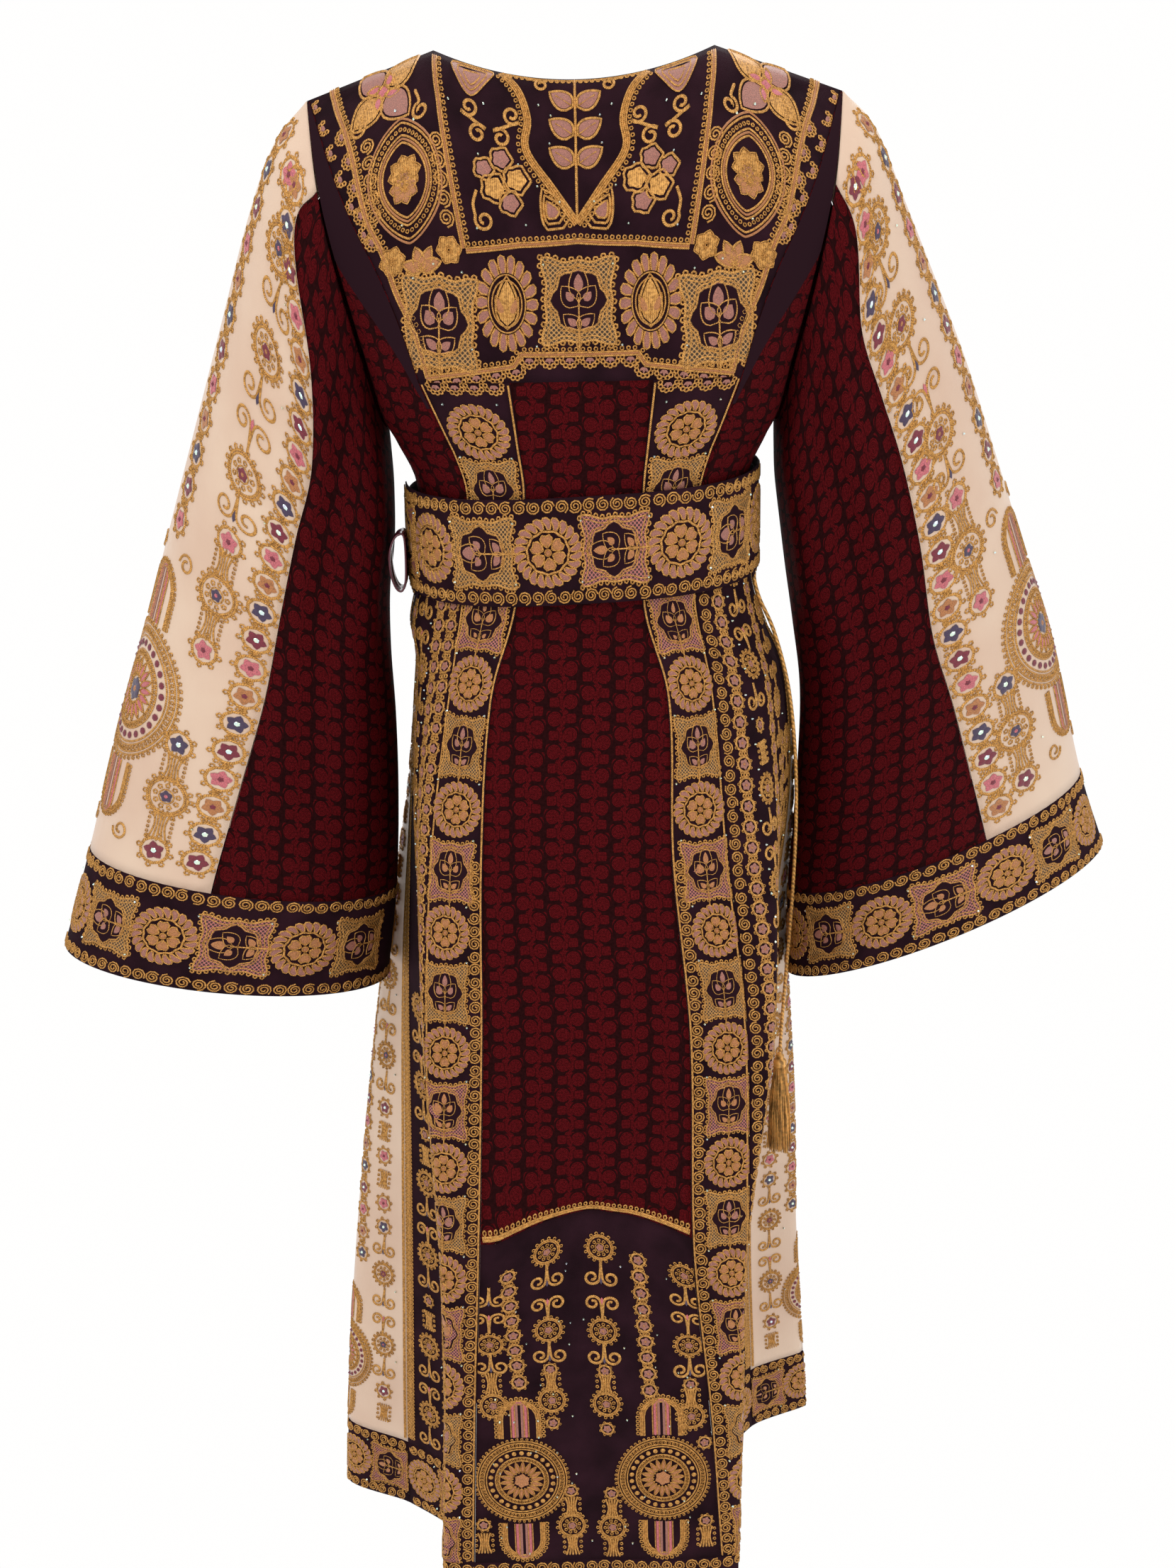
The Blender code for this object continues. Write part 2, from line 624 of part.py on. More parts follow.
def sleeve(rows, s, angle):
    place = sleeve_oval(rows, s, angle)
    if s < ARMHOLE_FADE:
        share = (1 - s / ARMHOLE_FADE) ** 2
        place += (armhole(rows, angle) - sleeve_oval(rows, 0, angle)) * share
    outer, inner, depth, seam = sleeve_ring(rows, s)
    degrees = math.degrees(angle) % 360
    rise = 0.0
    for fold in SLEEVE_FOLDS:
        strength = smooth((s - fold.start) / 1.2) * smooth((fold.end - s) / 1.2)
        rise += fold.rise * strength * bump(degrees - fold.angle, fold.width)
    away = (place - (outer + inner) / 2).normalized()
    return place + away * rise


def armhole_normal(rows, angle):
    """The bodice's own normal at its armhole edge."""
    share = (1 - math.cos(angle)) / 2
    z = TIP_Z + (ARMPIT_Z - TIP_Z) * share
    hand = math.copysign(1, rows[0].outer[0])
    face = BACK if math.sin(angle) >= 0 else FRONT
    half = by_z(WAIST, z, "half") - NORMAL_STEP

    def near(z, x):
        return bodice(hand * x, z, face)
    return normal_of(near, z, half, Vector((hand * 0.5, face.sign * 0.5, 0.7)))


def sleeve_piece(name, colour, rows, levels, start, end, columns):
    """A piece of a sleeve between two lines that run along it, given as angles."""
    def surface(s, angle):
        return sleeve(rows, s, angle)

    def place(u, v):
        s = levels[round(v * (len(levels) - 1))]
        a, b = start(s), end(s)
        inset = SEAM * 0.7 / sleeve_ring(rows, s)[2]
        step = SEAM / 2 / (0.07 if s < CUFF_START else 0.09)
        s += step if v < 1e-6 and s > 0 else 0
        s -= step if v > 1 - 1e-6 and s < SLEEVE_END else 0
        return s, a + inset + (b - a - 2 * inset) * u

    def out(s, angle):
        outer, inner, depth, seam = sleeve_ring(rows, s)
        return surface(s, angle) - (outer + inner) / 2

    def settle(s, angle, v, spot, normal):
        if v < 1e-6 and s < CUFF_START:
            own = smooth(((1 - math.cos(angle)) / 2 - 0.25) / 0.35)
            normal = armhole_normal(rows, angle).lerp(normal, own).normalized()
        return spot, normal
    return cloth_panel(name, colour, columns, len(levels) - 1, surface, place, out,
                       settle=settle)


def make_sleeve(side, rows):
    levels = [0, 0.45, 1, 1.6, 2.3, 3.1, 4, 4.9, 5.8, 6.6, 7.3, CUFF_START]
    cuff = [CUFF_START, (CUFF_START + SLEEVE_END) / 2, SLEEVE_END]

    def seam(s):
        return sleeve_ring(rows, s)[3]
    sleeve_piece("sleeve_top_" + side, IVORY, rows, levels, lambda s: -seam(s), seam, 14)
    sleeve_piece("sleeve_under_" + side, MAROON, rows, levels, seam,
                 lambda s: 2 * math.pi - seam(s), 16)
    sleeve_piece("cuff_back_" + side, PLUM, rows, cuff, lambda s: 0.0, lambda s: math.pi, 12)
    sleeve_piece("cuff_front_" + side, PLUM, rows, cuff, lambda s: math.pi,
                 lambda s: 2 * math.pi, 12)


def round_waist(z, run):
    """A point of the plain body at z, run along from the middle of the back to the right."""
    whole = sum(reach(z, face, hand) for face in (BACK, FRONT) for hand in (1, -1))
    run = (run + whole / 2) % whole - whole / 2
    hand = 1 if run >= 0 else -1
    back = reach(z, BACK, hand)
    if abs(run) <= back:
        return plain_body(z, run, BACK)
    return plain_body(z, hand * (back + reach(z, FRONT, hand) - abs(run)), FRONT)


def belt_piece(name, start, end, columns, lift, drop, rounded):
    def surface(z, run):
        ring = round_waist(BELT_SHAPE_Z, run)
        return Vector((ring.x, ring.y, z))

    def place(u, v):
        run = start + (end - start) * u
        top = BELT_TOP_Z + BELT_TILT * surface(0, run).x - drop
        bottom = top - BELT_HEIGHT
        near = (run - start) / BELT_END_ROUND
        if rounded and near < 1:
            bottom += BELT_END_ROUND * (1 - math.sqrt(1 - (1 - near) ** 2))
        return top + (bottom - top) * v, run

    def out(z, run):
        way = surface(z, run + STEP) - surface(z, run - STEP)
        return Vector((way.y, -way.x, 0))
    cloth_panel(name, PLUM, columns, 1, surface, place, out, wall=STIFF_CLOTH,
                lift=lift + STIFF_CLOTH)


def make_belt():
    left, right = reach(BELT_SHAPE_Z, BACK, -1), reach(BELT_SHAPE_Z, BACK, 1)
    whole = left + right + reach(BELT_SHAPE_Z, FRONT, 1) + reach(BELT_SHAPE_Z, FRONT, -1)
    belt_piece("belt_over", -left + 0.012, right + 0.030, 40, BELT_OVER_LIFT, 0.0, True)
    belt_piece("belt_under", right - 0.035, whole - left + 0.045, 44, BELT_UNDER_LIFT,
               BELT_UNDER_DROP, False)


def make_loop():
    points = [Vector(p) for p in LOOP_ROUTE]
    outline = [p for span in spline(points, 4, 0.0) for p in span]
    mesh = bmesh.new()
    ring = bmesh.ops.create_circle(mesh, segments=len(outline), radius=1)["verts"]
    for vert, spot in zip(ring, outline):
        vert.co = Vector((spot.x, LOOP_Y - LOOP_WIDTH / 2, spot.y))
    made = bmesh.ops.extrude_edge_only(mesh, edges=mesh.edges[:])
    moved = [v for v in made["geom"] if isinstance(v, bmesh.types.BMVert)]
    bmesh.ops.translate(mesh, verts=moved, vec=(0, LOOP_WIDTH, 0))
    bmesh.ops.recalc_face_normals(mesh, faces=mesh.faces)
    thing = add_object("tie_loop", mesh, PLUM, 0.35)
    wall = thing.modifiers.new("wall", "SOLIDIFY")
    wall.thickness = LOOP_WALL
    wall.offset = 0


def make_cord():
    data = bpy.data.curves.new("tassel_cord", "CURVE")
    data.dimensions = "3D"
    data.bevel_depth = CORD_RADIUS
    data.bevel_resolution = 2
    data.use_fill_caps = True
    route = [Vector(p) for p in CORD_ROUTE]
    fine = []
    for i in range(len(route) - 1):
        before, after = route[max(0, i - 1)], route[min(len(route) - 1, i + 2)]
        fine += [hermite(route[i], route[i + 1], (route[i + 1] - before) / 2,
                         (after - route[i]) / 2, k / 3) for k in range(3)]
    fine.append(route[-1])
    line = data.splines.new("POLY")
    line.points.add(len(fine) - 1)
    for point, spot in zip(line.points, fine):
        point.co = (*spot, 1)
    data.materials.append(material("tassel_cord", GOLD, 0.45, 0.4))
    garment.objects.link(bpy.data.objects.new("tassel_cord", data))


def make_tassel():
    """A knob and skirt of strands: each strand grows from one cell of the head's underside."""
    mesh = bmesh.new()
    bmesh.ops.create_grid(mesh, x_segments=TASSEL_CELLS, y_segments=TASSEL_CELLS, size=1)
    for vert in mesh.verts:
        x, y = vert.co.x, vert.co.y
        vert.co = Vector((x * math.sqrt(1 - y * y / 2), y * math.sqrt(1 - x * x / 2), 0))
        vert.co *= TASSEL_HEAD_RADIUS
    bmesh.ops.reverse_faces(mesh, faces=mesh.faces)
    cells = mesh.faces[:]
    rim = [e for e in mesh.edges if e.is_boundary]
    for height, scale in ((0.20, 1.10), (0.30, 0.82), (0.10, 1.0), (0.25, 0.85), (0.15, 0.40)):
        made = bmesh.ops.extrude_edge_only(mesh, edges=rim)
        verts = [v for v in made["geom"] if isinstance(v, bmesh.types.BMVert)]
        rim = [e for e in made["geom"] if isinstance(e, bmesh.types.BMEdge)]
        bmesh.ops.translate(mesh, verts=verts, vec=(0, 0, height * TASSEL_HEAD_HEIGHT))
        bmesh.ops.scale(mesh, verts=verts, vec=(scale, scale, 1))
    bmesh.ops.contextual_create(mesh, geom=rim)
    bmesh.ops.inset_individual(mesh, faces=cells, thickness=TASSEL_HEAD_RADIUS * 0.04)
    tips = cells
    for part, spread in ((0.30, 1.25), (0.35, 1.15), (0.35, 1.0)):
        tips = bmesh.ops.extrude_discrete_faces(mesh, faces=tips)["faces"]
        for n, face in enumerate(tips):
            middle = face.calc_center_median()
            shorter = 1 - 0.10 * ((n * 7) % 5) / 5
            shift = Vector((middle.x * (spread - 1), middle.y * (spread - 1),
                            -part * TASSEL_LENGTH * shorter))
            bmesh.ops.translate(mesh, verts=face.verts, vec=shift)
    bmesh.ops.translate(mesh, verts=mesh.verts, vec=TASSEL_TOP - Vector((0, 0, TASSEL_HEAD_HEIGHT)))
    bmesh.ops.recalc_face_normals(mesh, faces=mesh.faces)
    add_object("tassel", mesh, GOLD, 0.5)


make_yoke()
make_front_bodice()
make_body()
make_sleeve("l", SLEEVE_L)
make_sleeve("r", SLEEVE_R)
make_belt()
make_loop()
make_cord()
make_tassel()
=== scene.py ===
import json
import math
import random

import bmesh
import bpy
import numpy as np
from mathutils import Euler, Matrix, Vector


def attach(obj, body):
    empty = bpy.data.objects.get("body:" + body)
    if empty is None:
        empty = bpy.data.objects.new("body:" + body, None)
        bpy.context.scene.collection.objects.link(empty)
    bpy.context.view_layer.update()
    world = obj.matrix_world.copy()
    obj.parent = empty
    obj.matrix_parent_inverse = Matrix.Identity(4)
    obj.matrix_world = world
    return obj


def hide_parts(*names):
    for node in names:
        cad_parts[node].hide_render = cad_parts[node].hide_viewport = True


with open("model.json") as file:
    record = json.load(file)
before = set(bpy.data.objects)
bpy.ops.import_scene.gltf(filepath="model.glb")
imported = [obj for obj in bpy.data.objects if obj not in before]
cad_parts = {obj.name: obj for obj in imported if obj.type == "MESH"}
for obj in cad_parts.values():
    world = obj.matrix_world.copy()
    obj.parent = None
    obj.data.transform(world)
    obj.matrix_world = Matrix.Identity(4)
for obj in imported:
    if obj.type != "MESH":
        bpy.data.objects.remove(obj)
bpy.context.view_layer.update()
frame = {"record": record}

dice = random.Random(7)
print("frame loaded")

# Camera first: it stands behind the wearer and looks a little down.
view = {"distance": 1.80, "pitchDown": 18.0, "roll": -1.1, "lens": 50.0, "sensor": 36.0}


def addCamera(view):
    data = bpy.data.cameras.new("camera")
    data.lens = view["lens"]
    data.sensor_fit = "AUTO"
    data.sensor_width = view["sensor"]
    camera = bpy.data.objects.new("camera", data)
    camera.location = (0, -view["distance"], 0)
    tilt = Euler((math.radians(90 - view["pitchDown"]), 0, 0)).to_matrix()
    turn = Matrix.Rotation(math.radians(view["roll"]), 3, "Z")
    camera.rotation_euler = (tilt @ turn).to_euler()
    bpy.context.scene.collection.objects.link(camera)
    bpy.context.scene.camera = camera


addCamera(view)

# The route of the cord from the belt to the tassel, the same points as its solid's. Its last
# stretch runs on inside the tassel, which is tied round it.
cordSet = {
    "radius": 0.0016,
    "route": (
        (0.1422, -0.0162, -0.3963), (0.1426, -0.0161, -0.4040), (0.1472, -0.0150, -0.4200),
        (0.1600, -0.010, -0.4500), (0.1730, -0.004, -0.5000), (0.1800, 0.003, -0.5600),
        (0.1825, 0.012, -0.6200), (0.1820, 0.022, -0.6800), (0.1800, 0.033, -0.7400),
        (0.1770, 0.044, -0.8000), (0.1750, 0.053, -0.8500), (0.1745, 0.0560, -0.8697),
        (0.1745, 0.0560, -0.8920), (0.1745, 0.0560, -0.9150)),
}

# Colours are linear. Each finish is one dictionary entry.
finishes = {
    "plum": (0.0165, 0.0050, 0.0085), "maroonGround": (0.0150, 0.0022, 0.0026),
    "maroonStitch": (0.0640, 0.0028, 0.0042), "ivory": (0.68, 0.505, 0.375),
    "goldLight": (0.72, 0.365, 0.092), "goldDeep": (0.27, 0.120, 0.025),
    "mauve": (0.31, 0.115, 0.082), "copper": (0.40, 0.150, 0.042), "rose": (0.50, 0.115, 0.135),
    "crimson": (0.165, 0.007, 0.022), "navy": (0.045, 0.022, 0.062),
}

# Body form: one row for each level, as on the solids. Depths are from the wearer's middle.
bodySet = {
    "neckHalf": 0.110, "neckPointZ": 0.0216, "tipX": 0.2110, "tipZ": -0.0145,
    "shoulderRound": 0.130, "armpitZ": -0.272, "armEdgeDepth": 0.070, "yokeBottomZ": -0.222,
    "hemZ": -1.340, "hemTopBackZ": -1.245, "hemTopFrontZ": -1.268,
    "archCrestZ": -0.906, "archEndZ": -0.936, "archHalf": 0.085, "archBend": (-0.86, -1.05),
    "frontTopZ": -0.355,
    "neckDip": {"back": (-0.0020, 0.060), "front": (-0.0750, 0.066)},
}


def table(columns, rows):
    return [dict(zip(columns.split(), row)) for row in rows]


waistRows = table("z half back front", (
    (-0.015, 0.2110, 0.098, 0.085),
    (-0.085, 0.1990, 0.112, 0.100),
    (-0.156, 0.1820, 0.120, 0.112),
    (-0.220, 0.1670, 0.121, 0.114),
    (-0.272, 0.1560, 0.120, 0.112),
    (-0.310, 0.1385, 0.121, 0.104),
    (-0.355, 0.1345, 0.120, 0.100),
    (-0.400, 0.1400, 0.122, 0.106),
    (-0.440, 0.1500, 0.128, 0.114)))
skirtRows = table("z backY frontY foldL foldR underL underR valleyL valleyR sideL sideR "
                  "cornerL cornerR", (
    (-0.440, -0.128, 0.114, (-0.114, -0.100), (0.118, -0.098), (-0.131, -0.068), (0.140, -0.066),
     (-0.138, -0.030), (0.150, -0.026), (-0.140, 0.012), (0.155, 0.016),
     (-0.128, 0.074), (0.144, 0.078)),
    (-0.500, -0.137, 0.123, (-0.122, -0.113), (0.128, -0.108), (-0.137, -0.080), (0.150, -0.074),
     (-0.143, -0.038), (0.163, -0.028), (-0.147, 0.012), (0.172, 0.020),
     (-0.143, 0.074), (0.168, 0.082)),
    (-0.600, -0.148, 0.135, (-0.133, -0.131), (0.145, -0.122), (-0.143, -0.096), (0.158, -0.085),
     (-0.147, -0.046), (0.164, -0.034), (-0.155, 0.014), (0.176, 0.022),
     (-0.158, 0.072), (0.182, 0.080)),
    (-0.750, -0.160, 0.150, (-0.138, -0.153), (0.149, -0.147), (-0.137, -0.115), (0.147, -0.105),
     (-0.140, -0.052), (0.143, -0.034), (-0.167, 0.012), (0.160, 0.034),
     (-0.187, 0.062), (0.181, 0.092)),
    (-0.950, -0.171, 0.165, (-0.132, -0.168), (0.127, -0.165), (-0.125, -0.125), (0.117, -0.115),
     (-0.128, -0.044), (0.112, -0.002), (-0.176, 0.014), (0.148, 0.072),
     (-0.217, 0.065), (0.195, 0.115)),
    (-1.100, -0.178, 0.180, (-0.133, -0.175), (0.123, -0.172), (-0.124, -0.125), (0.111, -0.115),
     (-0.129, -0.035), (0.111, 0.030), (-0.182, 0.021), (0.149, 0.110),
     (-0.236, 0.072), (0.202, 0.145)),
    (-1.250, -0.183, 0.196, (-0.140, -0.180), (0.120, -0.177), (-0.128, -0.125), (0.107, -0.115),
     (-0.133, -0.028), (0.113, 0.055), (-0.188, 0.029), (0.155, 0.140),
     (-0.250, 0.078), (0.212, 0.175)),
    (-1.340, -0.185, 0.202, (-0.142, -0.182), (0.119, -0.179), (-0.129, -0.125), (0.106, -0.115),
     (-0.134, -0.025), (0.114, 0.065), (-0.190, 0.033), (0.158, 0.150),
     (-0.256, 0.080), (0.219, 0.188))))
bandRows = table("z innerL outerL innerR outerR", (
    (-0.222, 0.054, 0.127, 0.056, 0.127),
    (-0.272, 0.048, 0.106, 0.050, 0.108),
    (-0.310, 0.044, 0.095, 0.046, 0.097),
    (-0.400, 0.054, 0.104, 0.046, 0.092),
    (-0.470, 0.075, 0.117, 0.064, 0.106),
    (-0.600, 0.086, 0.133, 0.066, 0.114),
    (-0.750, 0.090, 0.140, 0.079, 0.128),
    (-0.950, 0.099, 0.149, 0.081, 0.131),
    (-1.100, 0.107, 0.157, 0.095, 0.145),
    (-1.245, 0.113, 0.163, 0.104, 0.154)))
yokeRows = table("z share", ((-0.0145, 0.990), (-0.0850, 0.890), (-0.1560, 0.760)))
sleeveRows = {
    "l": table("outer inner depth seam", (
        ((-0.2110, 0.000, -0.0145), (-0.1560, 0.000, -0.272), 0.070, 61),
        ((-0.2380, 0.000, -0.0450), (-0.1565, 0.000, -0.295), 0.074, 60),
        ((-0.2620, 0.000, -0.1000), (-0.1565, 0.000, -0.325), 0.077, 88),
        ((-0.2900, 0.000, -0.1850), (-0.1580, 0.000, -0.365), 0.079, 99),
        ((-0.3180, 0.000, -0.2700), (-0.1640, 0.000, -0.410), 0.081, 98),
        ((-0.3450, 0.000, -0.3520), (-0.1655, 0.000, -0.460), 0.083, 96),
        ((-0.3720, 0.000, -0.4350), (-0.1640, 0.000, -0.520), 0.084, 93),
        ((-0.4030, 0.000, -0.5250), (-0.1650, 0.000, -0.590), 0.084, 88),
        ((-0.4356, 0.000, -0.6300), (-0.1700, 0.000, -0.672), 0.084, 83),
        ((-0.4658, 0.000, -0.7212), (-0.1813, 0.000, -0.758), 0.082, 83))),
    "r": table("outer inner depth seam", (
        ((0.2110, 0.000, -0.0145), (0.1560, 0.000, -0.272), 0.070, 62),
        ((0.2380, 0.003, -0.0430), (0.1585, 0.003, -0.294), 0.074, 66),
        ((0.2640, 0.012, -0.1000), (0.1610, 0.008, -0.322), 0.077, 80),
        ((0.2940, 0.027, -0.1660), (0.1660, 0.014, -0.360), 0.079, 81),
        ((0.3230, 0.043, -0.2320), (0.1715, 0.020, -0.400), 0.081, 81),
        ((0.3535, 0.060, -0.3120), (0.1790, 0.026, -0.450), 0.083, 83),
        ((0.3855, 0.080, -0.3980), (0.1865, 0.032, -0.510), 0.084, 87),
        ((0.4182, 0.100, -0.4858), (0.1860, 0.038, -0.580), 0.084, 83),
        ((0.4572, 0.130, -0.6197), (0.1800, 0.048, -0.700), 0.084, 76),
        ((0.4865, 0.150, -0.6980), (0.1790, 0.056, -0.785), 0.082, 76))),
}
sleeveSet = {"cuffStart": 8.0, "end": 9.0, "fade": 2.2, "gap": 0.0005, "underarm": 0.0026,
             "ringStep": 0.085, "girth": (0.42, 0.62)}
# Cloth shells: the size of a grid cell and the wall.
clothSet = {"cell": 0.0077, "wall": 0.0012}
# Long soft folds: angle, start and end along the sleeve, half width in degrees, rise.
sleeveFolds = (
    (118, 0.8, 7.8, 16, -0.0070), (146, 0.4, 5.5, 15, 0.0060), (70, 2.5, 7.5, 14, 0.0035),
    (215, 1.0, 7.5, 18, -0.0060), (250, 0.6, 6.5, 16, 0.0050))
# Skirt folds: distance from the middle, top, bottom, half width, rise.
skirtFolds = {
    "back": ((-0.052, -0.42, -0.93, 0.016, -0.0040), (0.012, -0.46, -1.20, 0.020, 0.0030),
             (0.048, -0.42, -0.88, 0.014, -0.0035), (-0.036, -0.23, -0.31, 0.012, 0.0045),
             (0.034, -0.23, -0.31, 0.012, 0.0045)),
    "front": ((-0.150, -0.46, -1.40, 0.022, -0.0110), (-0.095, -0.50, -1.40, 0.022, 0.0090),
              (-0.035, -0.45, -1.40, 0.020, -0.0080), (0.030, -0.52, -1.40, 0.022, 0.0100),
              (0.085, -0.46, -1.40, 0.020, -0.0090), (0.145, -0.48, -1.40, 0.022, 0.0100)),
}
beltSet = {
    "topZ": -0.3095, "height": 0.085, "tilt": 0.040, "shapeZ": -0.405, "wall": 0.0020,
    "underLift": 0.0010, "overLift": 0.0035, "underDrop": 0.007, "endRound": 0.030,
}
faceSign = {"back": -1, "front": 1}
seamGap = 0.0001
tiny = 0.0004


def hermite(a, b, slopeA, slopeB, t):
    t2, t3 = t * t, t * t * t
    return ((2 * t3 - 3 * t2 + 1) * a + (t3 - 2 * t2 + t) * slopeA
            + (3 * t2 - 2 * t3) * b + (t3 - t2) * slopeB)


def smooth(t):
    t = min(1.0, max(0.0, t))
    return t * t * (3 - 2 * t)


def bump(distance, width):
    t = abs(distance) / width
    return 0.0 if t >= 1 else (1 - t * t) ** 2


# Reads one column of a table whose keys run downwards, smoothly between its rows.
def along(rows, keys, level, values):
    level = min(keys[0], max(keys[-1], level))
    i = next(n for n in range(len(keys) - 1) if level >= keys[n + 1] - 1e-12)
    step = keys[i + 1] - keys[i]

    def slope(n):
        low, high = max(0, n - 1), min(len(rows) - 1, n + 1)
        return (values[high] - values[low]) / (keys[high] - keys[low])

    return hermite(values[i], values[i + 1], slope(i) * step, slope(i + 1) * step,
                   (level - keys[i]) / step)


def byZ(rows, z, name, item=None):
    values = [row[name] if item is None else row[name][item] for row in rows]
    return along(rows, [row["z"] for row in rows], z, values)


def topLine(x, face):
    neckZ = bodySet["neckDip"][face][0]
    share = abs(x) / bodySet["neckHalf"]
    if share < 1:
        return neckZ + (bodySet["neckPointZ"] - neckZ) * share ** 2
    run = (abs(x) - bodySet["neckHalf"]) / (bodySet["tipX"] - bodySet["neckHalf"])
    return bodySet["neckPointZ"] + (bodySet["tipZ"] - bodySet["neckPointZ"]) * run


# The cloth above the armpit at x and z.
def bodice(x, z, face):
    half, depth = byZ(waistRows, z, "half"), byZ(waistRows, z, face)
    down = min(1.0, max(0.0, (bodySet["tipZ"] - z) / (bodySet["tipZ"] - bodySet["armpitZ"])))
    edge = bodySet["armEdgeDepth"] * 2 * math.sqrt(down * (1 - down))
    power = 1.0 - 0.5 * smooth(down)
    share = min(1.0, abs(x) / half)
    full = edge + (depth - edge) * (1 - share ** 3) ** power
    neck = bodySet["neckDip"][face][1] * max(0.0, 1 - (x / bodySet["neckHalf"]) ** 2)
    fall = min(1.0, max(0.0, (topLine(x, face) - z) / bodySet["shoulderRound"]))
    y = faceSign[face] * (neck + (full - neck) * math.sqrt(1 - (1 - fall) ** 2))
    return Vector((x, y, z))


# Smooth spans through points, round to the first again when closed. Each has a count of parts,
# or as many as its length holds steps.
def spansThrough(points, parts=None, step=0.0, closed=True, ease=0.5):
    count = len(points)
    spans = []
    for n in range(count if closed else count - 1):
        near = [(n + k) % count if closed else min(count - 1, max(0, n + k)) for k in (-1, 0, 1, 2)]
        before, a, b, after = (points[k] for k in near)
        pieces = parts or max(2, round((b - a).length / step))
        spans.append([hermite(a, b, (b - before) * ease, (after - a) * ease, k / pieces)
                      for k in range(pieces)])
    return spans


# The four quarters of the skirt at z, each from the middle to the side seam.
def skirtRing(z):
    def read(name):
        return Vector((byZ(skirtRows, z, name, 0), byZ(skirtRows, z, name, 1)))
    back, front = byZ(skirtRows, z, "backY"), byZ(skirtRows, z, "frontY")
    right = [read(name) for name in ("foldR", "underR", "valleyR", "sideR", "cornerR")]
    left = [read(name) for name in ("foldL", "underL", "valleyL", "sideL", "cornerL")]
    flat = 0.58
    ring = ([Vector((0, back)), Vector((right[0].x * flat, back - 0.002))] + right
            + [Vector((right[4].x * flat, front - 0.004)), Vector((0, front)),
               Vector((left[4].x * flat, front - 0.004))] + left[::-1]
            + [Vector((left[0].x * flat, back - 0.002))])
    spans = spansThrough(ring, 16, ease=0.35)

    def run(first, last):
        return [p for span in spans[first:last] for p in span] + [ring[last % len(ring)]]
    return {("back", 1): run(0, 5), ("front", 1): run(5, 8)[::-1],
            ("front", -1): run(8, 11), ("back", -1): run(11, 16)[::-1]}


def waistRing(z):
    quarters = {}
    half = byZ(waistRows, z, "half")
    for face in ("back", "front"):
        for hand in (1, -1):
            xs = [half * math.sin(math.pi / 2 * k / 48) ** (2 / 3) for k in range(49)]
            quarters[(face, hand)] = [bodice(hand * x, z, face).xy for x in xs]
    return quarters


def measured(line):
    points = np.array(line)
    steps = np.linalg.norm(np.diff(points, axis=0), axis=1)
    return points, np.concatenate(([0.0], np.cumsum(steps)))


ringStore = {}


def quarter(z, face, hand):
    key = round(z, 5)
    if key not in ringStore:
        low, high = -0.47, -0.42
        if z >= high:
            rings = {place: measured(line) for place, line in waistRing(z).items()}
        elif z <= low:
            rings = {place: measured(line) for place, line in skirtRing(z).items()}
        else:
            share = smooth((high - z) / (high - low))
            upper, lower, rings = waistRing(z), skirtRing(z), {}
            for place in upper:
                mixed = []
                for line, part in ((upper[place], 1 - share), (lower[place], share)):
                    points, lengths = measured(line)
                    at = np.linspace(0, lengths[-1], 61)
                    mixed.append(np.stack([np.interp(at, lengths, points[:, n])
                                           for n in (0, 1)], 1) * part)
                rings[place] = measured(mixed[0] + mixed[1])
        ringStore[key] = rings
    return ringStore[key][(face, hand)]


def reach(z, face, hand):
    return quarter(z, face, hand)[1][-1]


def plainBody(z, arc, face):
    points, lengths = quarter(z, face, 1 if arc >= 0 else -1)
    return Vector((np.interp(abs(arc), lengths, points[:, 0]),
                   np.interp(abs(arc), lengths, points[:, 1]), z))


# The body below the yoke with its folds: a point at z, a distance from the middle.
def bodyPoint(z, arc, face):
    place = plainBody(z, arc, face)
    rise = 0.0
    for at, top, bottom, width, height in skirtFolds[face]:
        strength = smooth((top - z) / 0.08) * smooth((z - bottom) / 0.05)
        rise += height * strength * bump(arc - at, width)
    if rise:
        side = plainBody(z, arc + tiny, face) - plainBody(z, arc - tiny, face)
        out = Vector((side.y, -side.x, 0)).normalized() * (1 if face == "back" else -1)
        place += out * rise
    return place


def yokeEdge(z):
    bottom = bodySet["yokeBottomZ"]
    ends = yokeRows + [dict(z=bottom, share=bandRows[0]["outerL"] / reach(bottom, "back", 1))]
    return byZ(ends, z, "share") * reach(z, "back", 1)


def archZ(arc):
    share = min(1.0, abs(arc) / bodySet["archHalf"])
    crest, end = bodySet["archCrestZ"], bodySet["archEndZ"]
    return crest + (end - crest) * share ** 1.6


def sleeveRing(rows, s):
    keys = [-n for n in range(len(rows))]

    def read(name, item=None):
        return along(rows, keys, -s, [row[name] if item is None else row[name][item] for row in rows])
    outer = Vector([read("outer", i) for i in range(3)])
    inner = Vector([read("inner", i) for i in range(3)])
    return outer, inner, read("depth"), math.radians(read("seam"))


def sleeveOval(ring, angle):
    outer, inner, depth = ring[:3]
    return ((outer + inner) / 2 + (outer - inner) / 2 * math.cos(angle)
            + Vector((0, -depth * math.sin(angle), 0)))


def armhole(rows, angle):
    share = (1 - math.cos(angle)) / 2
    z = bodySet["tipZ"] + (bodySet["armpitZ"] - bodySet["tipZ"]) * share
    hand = math.copysign(1, rows[0]["outer"][0])
    face = "back" if math.sin(angle) >= 0 else "front"
    edge = bodice(hand * byZ(waistRows, z, "half"), z, face)
    edge.x += hand * (sleeveSet["gap"] + sleeveSet["underarm"] * smooth((share - 0.01) / 0.6))
    return edge


